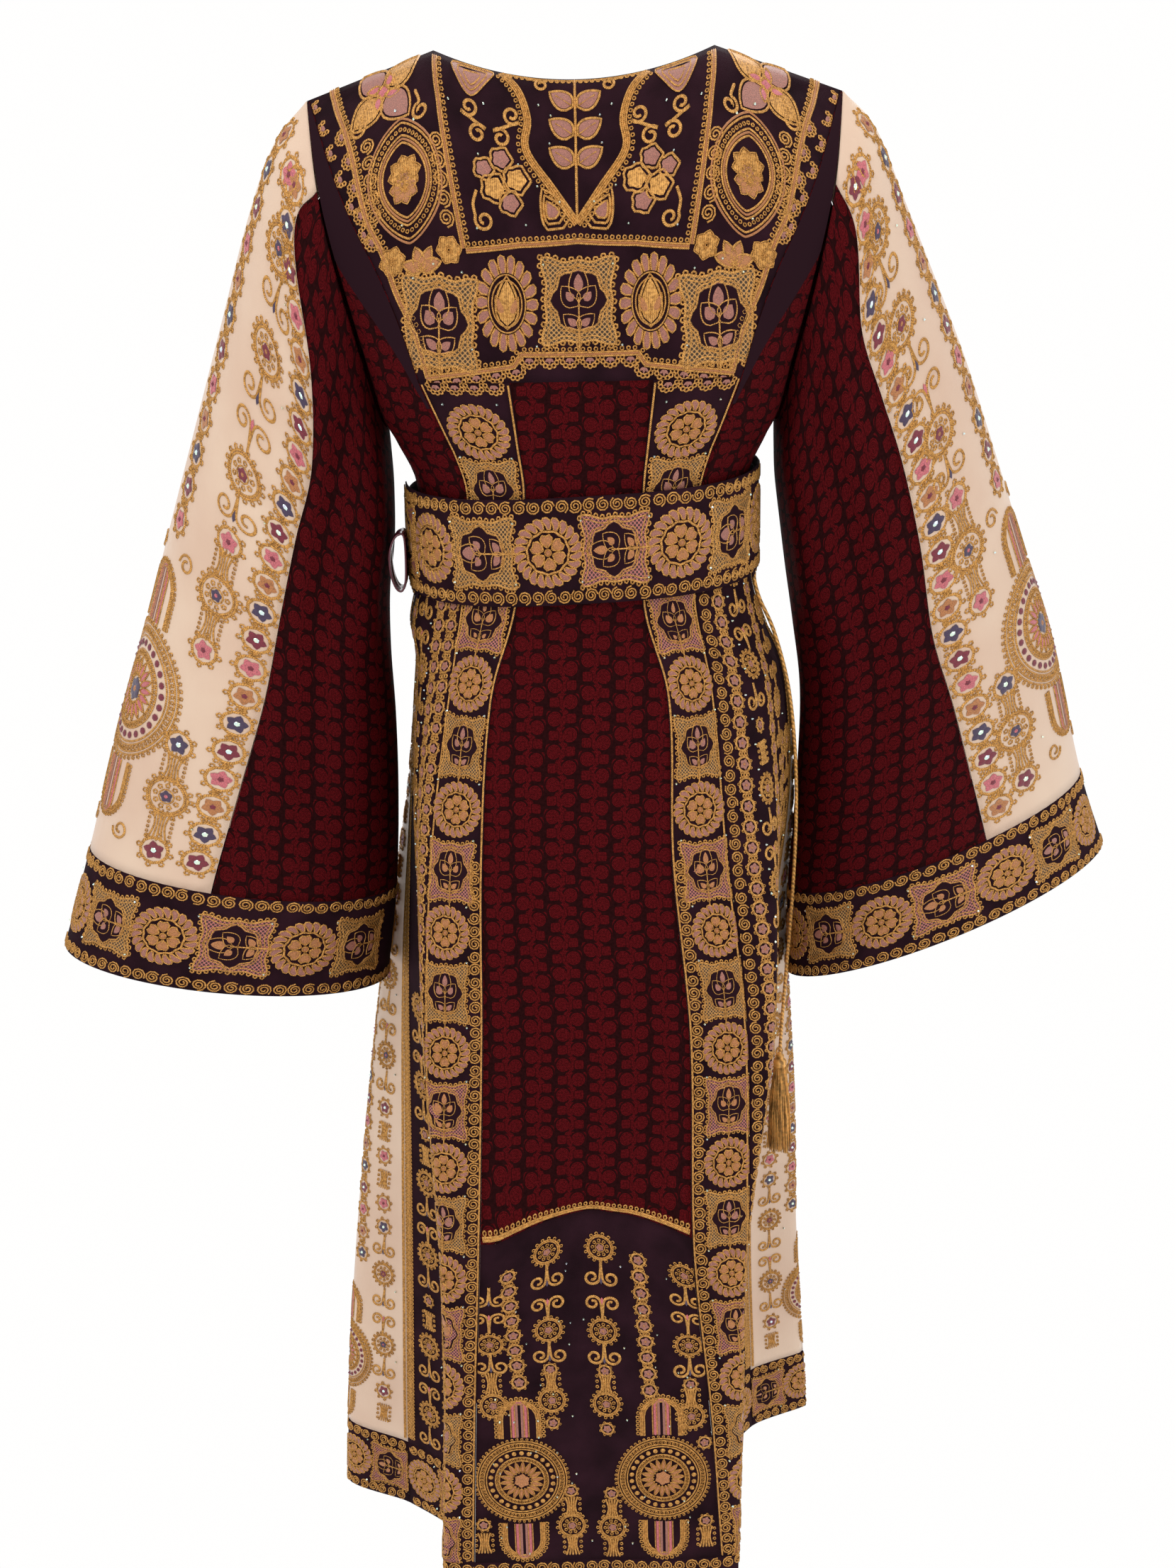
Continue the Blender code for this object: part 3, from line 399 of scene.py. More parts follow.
def sleevePoint(rows, ring, first, s, angle):
    place = sleeveOval(ring, angle)
    if s < sleeveSet["fade"]:
        share = (1 - s / sleeveSet["fade"]) ** 2
        place += (armhole(rows, angle) - sleeveOval(first, angle)) * share
    degrees = math.degrees(angle) % 360
    rise = 0.0
    for at, start, end, width, height in sleeveFolds:
        rise += height * smooth((s - start) / 1.2) * smooth((end - s) / 1.2) * bump(degrees - at, width)
    return place + (place - (ring[0] + ring[1]) / 2).normalized() * rise


def roundWaist(z, run):
    whole = sum(reach(z, face, hand) for face in ("back", "front") for hand in (1, -1))
    run = (run + whole / 2) % whole - whole / 2
    hand = 1 if run >= 0 else -1
    back = reach(z, "back", hand)
    if abs(run) <= back:
        return plainBody(z, run, "back")
    return plainBody(z, hand * (back + reach(z, "front", hand) - abs(run)), "front")


# A cloth piece as a grid of points, seen from outside: columns run right, rows run down.
class Panel:
    def __init__(self, name, points):
        self.name = name
        self.points = points
        self.settle()

    def settle(self):
        p = self.points
        across, down = np.gradient(p, axis=1), np.gradient(p, axis=0)
        normals = np.cross(down, across)
        self.normals = normals / np.maximum(np.linalg.norm(normals, axis=2), 1e-12)[..., None]
        steps = np.linalg.norm(np.diff(p, axis=1), axis=2)
        self.widths = steps.sum(1)
        self.across = np.concatenate((np.zeros((len(p), 1)), np.cumsum(steps, 1)), 1)
        self.across -= self.widths[:, None] * 0.5
        self.down = measured(p[:, int(round(0.5 * (p.shape[1] - 1)))])[1]
        self.length = self.down[-1]

    # Lays flat work on the piece: x right from its middle, y up from its top edge, z out.
    def lay(self, flat):
        rows, columns = self.points.shape[:2]
        v = np.interp(-flat[:, 1], self.down, np.arange(rows))
        width = np.interp(v, np.arange(rows), self.widths)
        u = np.clip(0.5 + flat[:, 0] / width, 0.001, 0.999) * (columns - 1)
        i, j = np.minimum(v.astype(int), rows - 2), np.minimum(u.astype(int), columns - 2)
        a, b = (v - i)[:, None], (u - j)[:, None]

        def mix(grid):
            return ((grid[i, j] * (1 - b) + grid[i, j + 1] * b) * (1 - a)
                    + (grid[i + 1, j] * (1 - b) + grid[i + 1, j + 1] * b) * a)
        out = mix(self.normals)
        return mix(self.points) + out / np.linalg.norm(out, axis=1)[:, None] * flat[:, 2:3]

    def widthAt(self, y):
        return float(np.interp(-y, self.down, self.widths))

    # How far in from the side edges a distance from the middle is.
    def edge(self, y, inset):
        return self.widthAt(y) / 2 - inset

    # Even heights down the panel, from a margin below its top, that leave a length spare.
    def depths(self, top, spare, steps):
        return [-top - (self.length - spare) * k / steps for k in range(steps + 1)]


def gridPoints(rows, columns, place):
    return np.array([[place(v / rows, u / columns) for u in range(columns + 1)]
                     for v in range(rows + 1)], float)


def levels(top, bottom, step):
    count = max(2, round((top - bottom) / step))
    return [top + (bottom - top) * n / count for n in range(count + 1)]


# A strip of the body between two lines that run down it.
def bodyStrip(name, face, top, bottom, left, right, bend=None):
    cell = clothSet["cell"]
    rows = levels(top, bottom, cell)
    widest = max(right(z) - left(z) for z in rows)
    columns = max(4, round(widest / cell))

    def place(v, u):
        z = rows[round(v * (len(rows) - 1))]
        if face == "front":
            u = 1 - u
        arc = left(z) + seamGap + (right(z) - left(z) - 2 * seamGap) * u
        if bend:
            z = bend(z, arc)
        return bodyPoint(z, arc, face)
    return Panel(name, gridPoints(len(rows) - 1, columns, place))


def bandLine(name, hand):
    return lambda z: hand * byZ(bandRows, z, name)


def seamLine(face, hand):
    return lambda z: hand * reach(z, face, hand)


# Upper body rows follow the shoulder and neck line at the top and lie level at the bottom.
def bodiceGrid(name, face, rows, columns, bottom, xAt, shapeTo):
    tip = bodySet["tipZ"]

    def place(v, u):
        fall = 0.55 * (1 - math.cos(v * math.pi / 2)) + 0.45 * v
        edgeZ = tip + (bottom - tip) * fall
        x, edgeX = xAt(edgeZ, u)
        share = max(0.0, (edgeZ - shapeTo) / (tip - shapeTo))
        z = edgeZ + (topLine(x, face) - topLine(edgeX, face)) * share
        if v == 0:
            z = topLine(x, face)
        return bodice(x, z, face)
    return Panel(name, gridPoints(rows, columns, place))


def makeYokePanel():
    def xAt(z, u):
        edge = plainBody(z, yokeEdge(z) - seamGap, "back").x
        return (2 * u - 1) * edge, edge
    bottom = bodySet["yokeBottomZ"]
    return bodiceGrid("back_yoke", "back", 40, 72, bottom, xAt, bottom)


def makeFrontPanel():
    def xAt(z, u):
        half = byZ(waistRows, z, "half")
        return half * math.sin((1 - 2 * u) * (math.pi / 2 - 0.001)), half
    return bodiceGrid("front_bodice", "front", 52, 64, bodySet["frontTopZ"], xAt, bodySet["armpitZ"])


# A part of a sleeve between two rings, from one angle round it to another.
def sleevePanel(name, side, first, last, start, end):
    rows = sleeveRows[side]
    root = sleeveRing(rows, 0)
    count = round((last - first) * sleeveSet["ringStep"] / clothSet["cell"])
    columns = round(sleeveSet["girth"][last > sleeveSet["cuffStart"]] / 2 / clothSet["cell"])
    rings = [sleeveRing(rows, first + (last - first) * n / count) for n in range(count + 1)]

    def place(v, u):
        s = first + (last - first) * v
        ring = rings[round(v * count)]
        a, b = start(ring[3]), end(ring[3])
        if side == "r":
            a, b = b, a
        gap = seamGap / ring[2]
        return sleevePoint(rows, ring, root, s, a + (b - a) * (gap + (1 - 2 * gap) * u))
    return Panel(name, gridPoints(count, columns, place))


def beltPanel(name, start, end, lift, drop, rounded, columns, rows=16):
    def place(v, u):
        run = start + (end - start) * u
        ring = roundWaist(beltSet["shapeZ"], run)
        way = roundWaist(beltSet["shapeZ"], run + tiny) - roundWaist(beltSet["shapeZ"], run - tiny)
        out = Vector((way.y, -way.x, 0)).normalized()
        top = beltSet["topZ"] + beltSet["tilt"] * ring.x - drop
        bottom = top - beltSet["height"]
        near = (run - start) / beltSet["endRound"]
        if rounded and near < 1:
            bottom += beltSet["endRound"] * (1 - math.sqrt(1 - (1 - near) ** 2))
        spot = ring + out * lift
        return spot.x, spot.y, top + (bottom - top) * v
    return Panel(name, gridPoints(rows, columns, place))


# A value in a shader's tree, so that sums of nodes are written as sums.
class Wire:
    def __init__(self, tree, socket):
        self.tree = tree
        self.socket = socket

    def plug(self, value, entry):
        if isinstance(value, Wire):
            self.tree.links.new(value.socket, entry)
        else:
            entry.default_value = value

    def math(self, operation, *values):
        made = self.tree.nodes.new("ShaderNodeMath")
        made.operation = operation
        for value, entry in zip(values, made.inputs):
            self.plug(value, entry)
        return Wire(self.tree, made.outputs[0])

    def __add__(self, other):
        return self.math("ADD", self, other)

    def __sub__(self, other):
        return self.math("SUBTRACT", self, other)

    def __rsub__(self, other):
        return self.math("SUBTRACT", other, self)

    def __mul__(self, other):
        return self.math("MULTIPLY", self, other)

    def __truediv__(self, other):
        return self.math("DIVIDE", self, other)

    def __rtruediv__(self, other):
        return self.math("DIVIDE", other, self)

    def __pow__(self, other):
        return self.math("POWER", self, other)

    def __abs__(self):
        return self.math("ABSOLUTE", self)

    def sine(self):
        return self.math("SINE", self)

    def below(self, *others):
        least = self
        for other in others:
            least = least.math("MINIMUM", least, other)
        return least

    def above(self, other):
        return self.math("MAXIMUM", self, other)


# A node material with one Principled shader, and short helpers to wire it.
class Finish:
    def __init__(self, name, colour, rough, metal=0.0, **sockets):
        self.material = bpy.data.materials.new(name)
        self.material.use_nodes = True
        self.tree = self.material.node_tree
        self.shader = self.tree.nodes["Principled BSDF"]
        self.shader.inputs["Base Color"].default_value = (*colour, 1)
        self.shader.inputs["Roughness"].default_value = rough
        self.shader.inputs["Metallic"].default_value = metal
        for socket, value in sockets.items():
            self.shader.inputs[socket.replace("_", " ")].default_value = value

    # Adds a node and gives back the wire from one of its outputs.
    def node(self, kind, inputs=(), output=0, **settings):
        made = self.tree.nodes.new(kind)
        for key, value in settings.items():
            setattr(made, key, value)
        wire = Wire(self.tree, made.outputs[output])
        for key, value in dict(inputs).items():
            wire.plug(value, made.inputs[key])
        return wire

    def noise(self, scale, detail=3.0, where=None, stretch=None):
        spot = where or self.node("ShaderNodeTexCoord", output="Object")
        if stretch:
            spot = self.node("ShaderNodeMapping", {"Vector": spot, "Scale": stretch})
        return self.node("ShaderNodeTexNoise", {"Vector": spot, "Scale": scale, "Detail": detail})

    def ramp(self, factor, low, high, start, end):
        made = self.node("ShaderNodeValToRGB", {"Fac": factor})
        stops = made.socket.node.color_ramp.elements
        for stop, colour, place in zip(stops, (low, high), (start, end)):
            stop.color = (*colour, 1)
            stop.position = place
        return made

    # A ramp between two shades of one colour.
    def shades(self, factor, colour, low, high, start=0.3, end=0.7):
        return self.ramp(factor, scaled(colour, low), scaled(colour, high), start, end)

    def colour(self, wire):
        wire.plug(wire, self.shader.inputs["Base Color"])

    def relief(self, height, distance, strength):
        made = self.node("ShaderNodeBump", {"Height": height, "Distance": distance, "Strength": strength})
        made.plug(made, self.shader.inputs["Normal"])

    # The flat coordinates of one UV map, whole and as x and y.
    def flat(self, name):
        whole = self.node("ShaderNodeUVMap", uv_map=name)
        return (whole, *self.parts(whole)[:2])

    def parts(self, vector):
        split = self.node("ShaderNodeSeparateXYZ", {"Vector": vector}).socket.node
        return [Wire(self.tree, output) for output in split.outputs]


def scaled(colour, factor):
    return tuple(channel * factor for channel in colour)


# Close weave: threads both ways from the cloth's own coordinates.
def weave(x, y, pitch):
    turn = 2 * math.pi / pitch
    return (x * turn).sine() * (y * turn).sine()


def plumCloth():
    made = Finish("plumVelvet", finishes["plum"], 0.85, Specular_IOR_Level=0.06)
    flat, x, y = made.flat("cloth")
    made.colour(made.shades(made.noise(26, 4, flat), finishes["plum"], 0.6, 1.5))
    made.relief(weave(x, y, 0.0011) * 0.4 + made.noise(900, 2, flat), 0.0003, 0.6)
    return made.material


# Ivory satin: faint long threads, soft pink shade towards the folds.
def ivoryCloth():
    ivory = finishes["ivory"]
    made = Finish("ivorySatin", ivory, 0.46, Sheen_Weight=0.25, Sheen_Roughness=0.4)
    flat, x, y = made.flat("cloth")
    pink = (ivory[0] * 0.93, ivory[1] * 0.86, ivory[2] * 0.84)
    made.colour(made.ramp(made.noise(9, 3, flat), pink, scaled(ivory, 1.04), 0.32, 0.68))
    made.relief(made.noise(60, 2, flat, (40, 2, 1)) + weave(x, y, 0.0009) * 0.35, 0.00025, 0.5)
    return made.material


# Maroon cloth with a stitched repeat: a stem, a disc on one side, a square bud on the other,
# and their sides change over every half repeat. Each column stands a quarter repeat lower than
# the one before it.
brocadeSet = {"repeat": 0.0265, "discX": -0.235, "discHalf": (0.220, 0.232), "budX": 0.262,
              "budHalf": 0.150, "stem": 0.036, "leaf": (-0.155, 0.075), "leafHalf": (0.360, 0.350),
              "wander": 0.12, "bend": 0.035, "past": 100.0}


def maroonCloth():
    kit, stitch = brocadeSet, finishes["maroonStitch"]
    made = Finish("maroonBrocade", stitch, 0.72, Specular_IOR_Level=0.03)
    flat, x, y = made.flat("cloth")
    wander = (made.noise(18, 1, flat) - 0.5) * kit["wander"]
    # Both counts start far below zero, so that their fractions and floors run one way.
    across = x / kit["repeat"] + wander + kit["past"]
    half = y / kit["repeat"] * 2.0 + wander + across.math("FLOOR", across) * 0.5 + kit["past"]
    odd = half.math("MODULO", half.math("FLOOR", half), 2.0)
    px = (across.math("FRACT", across) - 0.5) * (odd * 2.0 - 1.0)
    py = (half.math("FRACT", half) - 0.5) * 0.5

    def oval(middle, halves, power=2.0):
        return abs((px - middle[0]) / halves[0]) ** power + abs((py - middle[1]) / halves[1]) ** power
    disc = oval((kit["discX"], 0.0), kit["discHalf"])
    bud = oval((kit["budX"], 0.0), (kit["budHalf"],) * 2, 5.0)
    stem = abs(px - (py * (4 * math.pi)).sine() * kit["bend"]) / kit["stem"]
    # A crescent leaf: what a large ring leaves free round the disc and the bud.
    leaf = oval(kit["leaf"], kit["leafHalf"])
    leaf = leaf.above(1.30 / disc.above(0.01)).above(1.35 / bud.above(0.01))
    inside = made.node("ShaderNodeMapRange", {"Value": disc.below(bud, stem, leaf), "From Min": 1.02,
                                              "From Max": 0.86})
    rings = (disc.math("SQRT", disc) * 30.0).sine()
    relief = made.noise(700, 2, flat) + rings * 0.12
    ground = made.shades(made.noise(420, 2, flat), finishes["maroonGround"], 0.7, 1.3)
    made.colour(made.node("ShaderNodeMix", {0: inside, 6: ground, 7: made.shades(
        relief, stitch, 0.45, 1.5, 0.30, 0.72)}, 2, data_type="RGBA"))
    made.relief(inside * 0.7 + relief * 0.5, 0.0005, 0.8)
    return made.material


cloths = {"plum_velvet": plumCloth(), "maroon_brocade": maroonCloth(), "ivory_satin": ivoryCloth()}
print("cloth finishes made")


# Every piece of the model enters the scene here.
def addPiece(name, data, slot, stands=None):
    piece = bpy.data.objects.new(name, data)
    bpy.context.scene.collection.objects.link(piece)
    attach(piece, "root")
    if stands:
        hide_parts(stands)
    return piece


def asMesh(name, mesh):
    data = bpy.data.meshes.new(name)
    mesh.to_mesh(data)
    mesh.free()
    return data


def addWall(piece, thickness, offset):
    solid = piece.modifiers.new("wall", "SOLIDIFY")
    solid.thickness = thickness
    solid.offset = offset


# Turns a panel into its shell: a grid shaped like the panel, its UV in metres, and a wall.
def makeShell(panel, slot):
    rows, columns = panel.points.shape[:2]
    mesh = bmesh.new()
    bmesh.ops.create_grid(mesh, x_segments=columns - 1, y_segments=rows - 1, size=0.5)
    data = asMesh(panel.name + "_cloth", mesh)
    flatSpots = np.empty(len(data.vertices) * 3)
    data.vertices.foreach_get("co", flatSpots)
    flatSpots = flatSpots.reshape(-1, 3)
    i = np.rint((0.5 - flatSpots[:, 1]) * (rows - 1)).astype(int)
    j = np.rint((flatSpots[:, 0] + 0.5) * (columns - 1)).astype(int)
    data.vertices.foreach_set("co", panel.points[i, j].ravel())
    corners = np.empty(len(data.loops), int)
    data.loops.foreach_get("vertex_index", corners)
    spread = np.stack([panel.across[i, j], -panel.down[i]], 1)[corners]
    data.uv_layers.new(name="cloth").data.foreach_set("uv", spread.ravel())
    data.shade_smooth()
    data.update()
    data.materials.append(cloths[slot])
    piece = addPiece(panel.name + "_cloth", data, slot, panel.name)
    addWall(piece, clothSet["wall"], -1)


def measurePanel(panel):
    p = panel.points
    a = np.linalg.norm(np.cross(p[1:, 1:] - p[:-1, :-1], p[1:, :-1] - p[:-1, 1:]), axis=2).sum() / 2
    return round(float(panel.widths.max()), 4), round(float(panel.length), 4), round(float(a), 5)


# The panels in the order in which they are laid out, left of each pair first.
def makePanels():
    made = {"back_yoke": makeYokePanel(), "front_bodice": makeFrontPanel()}
    bottom, waist, hem = bodySet["yokeBottomZ"], bodySet["frontTopZ"], bodySet["hemZ"]
    hemBack, hemFront, archEnd = bodySet["hemTopBackZ"], bodySet["hemTopFrontZ"], bodySet["archEndZ"]

    # Bends the rows between a level and the arch's ends to the arch's line.
    def bendFrom(start):
        def bend(z, arc):
            if (z - start) * (archEnd - start) < 0:
                return z
            return start + (z - start) * (archZ(arc) - start) / (archEnd - start)
        return bend

    def strip(name, *form):
        made[name] = bodyStrip(name, *form)

    def tube(name, side, *form):
        made[name + side] = sleevePanel(name + side, side, *form)
    inL, inR, outL, outR = (bandLine(*form) for form in (
        ("innerL", -1), ("innerR", 1), ("outerL", -1), ("outerR", 1)))
    strip("back_center", "back", bottom, archEnd, inL, inR, bendFrom(bodySet["archBend"][0]))
    strip("back_lower", "back", archEnd, hemBack, inL, inR, bendFrom(bodySet["archBend"][1]))
    strip("back_band_l", "back", bottom, hemBack, outL, inL)
    strip("back_band_r", "back", bottom, hemBack, inR, outR)
    strip("hem_back", "back", hemBack, hem, outL, outR)
    for side, hand, outer in (("l", -1, outL), ("r", 1, outR)):
        def inner(z, hand=hand, outer=outer):
            return hand * yokeEdge(z) if z > bottom else outer(z)

        def pair(one, two, hand=hand):
            return (one, two) if hand > 0 else (two, one)
        seam = seamLine("back", hand)
        strip("bodice_side_" + side, "back", bodySet["tipZ"], waist, *pair(inner, seam))
        strip("side_panel_" + side, "back", waist, hemFront, *pair(outer, seam))
        strip("hem_side_" + side, "back", hemFront, hem, *pair(outer, seam))
        edges = pair(lambda z: 0.0, seamLine("front", hand))
        strip("front_panel_" + side, "front", waist, hemFront, *edges)
        strip("hem_front_" + side, "front", hemFront, hem, *edges)
        start, end, turn = sleeveSet["cuffStart"], sleeveSet["end"], 2 * math.pi
        tube("sleeve_top_", side, 0, start, lambda seam: -seam, lambda seam: seam)
        tube("sleeve_under_", side, 0, start, lambda seam: seam, lambda seam: turn - seam)
        tube("cuff_back_", side, start, end, lambda seam: 0.0, lambda seam: math.pi)
        tube("cuff_front_", side, start, end, lambda seam: math.pi, lambda seam: turn)
    shape = beltSet["shapeZ"]
    left, right = reach(shape, "back", -1), reach(shape, "back", 1)
    whole = left + right + reach(shape, "front", 1) + reach(shape, "front", -1)
    made["belt_over"] = beltPanel("belt_over", -left + 0.012, right + 0.030,
                                  beltSet["overLift"] + beltSet["wall"], 0.0, True, 90)
    made["belt_under"] = beltPanel("belt_under", right - 0.035, whole - left + 0.045,
                                   beltSet["underLift"] + beltSet["wall"], beltSet["underDrop"], False, 84)
    return made


panels = makePanels()
print("panels shaped", len(panels))
for name, panel in panels.items():
    print("panel", name, measurePanel(panel))


# Embroidery is drawn flat in metres, x right and y up, and then laid on its panel.
threads = ("gold", "mauve", "copper", "rose", "crimson", "navy", "goldNet", "pinkNet", "ground",
           "crystal")


def goldCord():
    made = Finish("goldCord", finishes["goldLight"], 0.40, 0.55)
    x, y = made.flat("cord")[1:]
    strand = (x * 4200.0 + y * 5.0).sine()
    made.colour(made.ramp(made.noise(520, 2) + strand * 0.12, finishes["goldDeep"],
                          finishes["goldLight"], 0.30, 0.66))
    made.relief(strand + made.noise(1500, 1), 0.0003, 0.5)
    return made.material


def silk(name):
    colour = finishes[name]
    made = Finish(name + "Silk", colour, 0.45, Sheen_Weight=0.2)
    fibre = made.noise(1300, 2)
    made.colour(made.shades(fibre, colour, 0.55, 1.35))
    made.relief(fibre, 0.0003, 0.6)
    return made.material


# Net ground: crossing gold or pink threads with small dark eyes between them.
def netting(name, colour):
    made = Finish(name, colour, 0.5, 0.25)
    x, y = made.flat("cord")[1:]
    turn = math.pi / 0.0034
    eye = abs(((x + y) * turn).sine()) * abs(((x - y) * turn).sine())
    made.colour(made.shades(eye + (made.noise(900, 2) - 0.5) * 0.35, colour, 1.15, 0.10, 0.12, 0.54))
    made.relief(1.0 - eye, 0.0004, 0.7)
    return made.material


def crystalStone():
    made = Finish("crystal", (0.85, 0.88, 0.92), 0.06, 0.85, Coat_Weight=0.6)
    made.colour(made.node("ShaderNodeHueSaturation", {
        "Hue": made.noise(260, 1), "Saturation": 1.0, "Value": 1.0, "Color": (0.72, 0.90, 0.80, 1)}))
    return made.material


def makeThreads():
    made = {"gold": goldCord(), "goldNet": netting("goldNet", (0.44, 0.222, 0.062)),
            "pinkNet": netting("pinkNet", (0.42, 0.140, 0.120)),
            "ground": cloths["plum_velvet"], "crystal": crystalStone()}
    return [made[name] if name in made else silk(name) for name in threads]


threadFinishes = makeThreads()
# Sizes shared by the cords. A loop is a ring of cord whose radius over all is drawnLoop.
cordStyle = {"width": 0.0016, "rise": 0.0009, "step": 0.0033, "foot": -0.0001, "lift": 0.0004,
             "drawnLoop": 0.00165}


def polar(radius, angle, x=0.0, y=0.0):
    return x + radius * math.cos(angle), y + radius * math.sin(angle)


# Even angles round a circle.
def around(count, start=0.0):
    return [2 * math.pi * (n + start) / count for n in range(count)]


def circleLine(x, y, radius, count):
    return [polar(radius, 2 * math.pi * n / count, x, y) for n in range(count + 1)]


def spiralLine(x, y, radius, turns, start=0.0, hand=1, core=0.12, count=9):
    steps = max(8, round(turns * count))
    return [polar(radius * (1 - (1 - core) * n / steps), start + hand * turns * 2 * math.pi * n / steps,
                  x, y) for n in range(steps + 1)]


# Rounds a coarse line into short steps, so that it follows the cloth.
def softLine(points, closed=False, step=cordStyle["step"]):
    spots = [Vector((x, y, 0)) for x, y in points]
    line = [(spot.x, spot.y) for span in spansThrough(spots, None, step, closed) for spot in span]
    last = spots[0 if closed else -1]
    return line + [(last.x, last.y)]


def straightLine(points, step):
    line = []
    for (ax, ay), (bx, by) in zip(points, points[1:]):
        parts = max(1, round(math.hypot(bx - ax, by - ay) / step))
        line += [(ax + (bx - ax) * k / parts, ay + (by - ay) * k / parts) for k in range(parts)]
    return line + [points[-1]]


# Points at even distances along a line, each with its direction.
def stations(line, pitch, start=0.5):
    lengths = [0.0]
    for a, b in zip(line, line[1:]):
        lengths.append(lengths[-1] + math.hypot(b[0] - a[0], b[1] - a[1]))
    count = max(1, round(lengths[-1] / pitch))
    found, i = [], 0
    for n in range(count):
        at = lengths[-1] * (n + start) / count
        while i < len(line) - 2 and lengths[i + 1] < at:
            i += 1
        share = (at - lengths[i]) / max(1e-9, lengths[i + 1] - lengths[i])
        a, b = line[i], line[i + 1]
        found.append((a[0] + (b[0] - a[0]) * share, a[1] + (b[1] - a[1]) * share,
                      math.atan2(b[1] - a[1], b[0] - a[0])))
    return found


# Each point of a line with the unit direction of the line there.
def directed(line):
    for n, spot in enumerate(line):
        (ax, ay), (bx, by) = line[max(0, n - 1)], line[min(len(line) - 1, n + 1)]
        far = math.hypot(bx - ax, by - ay) or 1.0
        yield spot, (bx - ax) / far, (by - ay) / far


# The line moved to its left by a gap.
def shifted(line, gap):
    return [(x - alongY * gap, y + alongX * gap) for (x, y), alongX, alongY in directed(line)]


def closed(line):
    return list(line) + [line[0]]


def leafLine(x, y, length, half, angle, count=7, blunt=0.0):
    line = []
    for n in range(2 * count):
        share = n / count
        along = share if share <= 1 else 2 - share
        side = 1 if share <= 1 else -1
        wide = half * math.sin(math.pi * along ** (0.75 + blunt)) ** 0.8 if 0 < along < 1 else 0.0
        line.append(spun(x, y, angle, length * along, side * wide))
    return line[::-1]


# A spot given along and across a direction from x and y.
def spun(x, y, angle, along, across):
    return (x + along * math.cos(angle) - across * math.sin(angle),
            y + along * math.sin(angle) + across * math.cos(angle))


motifs = {}


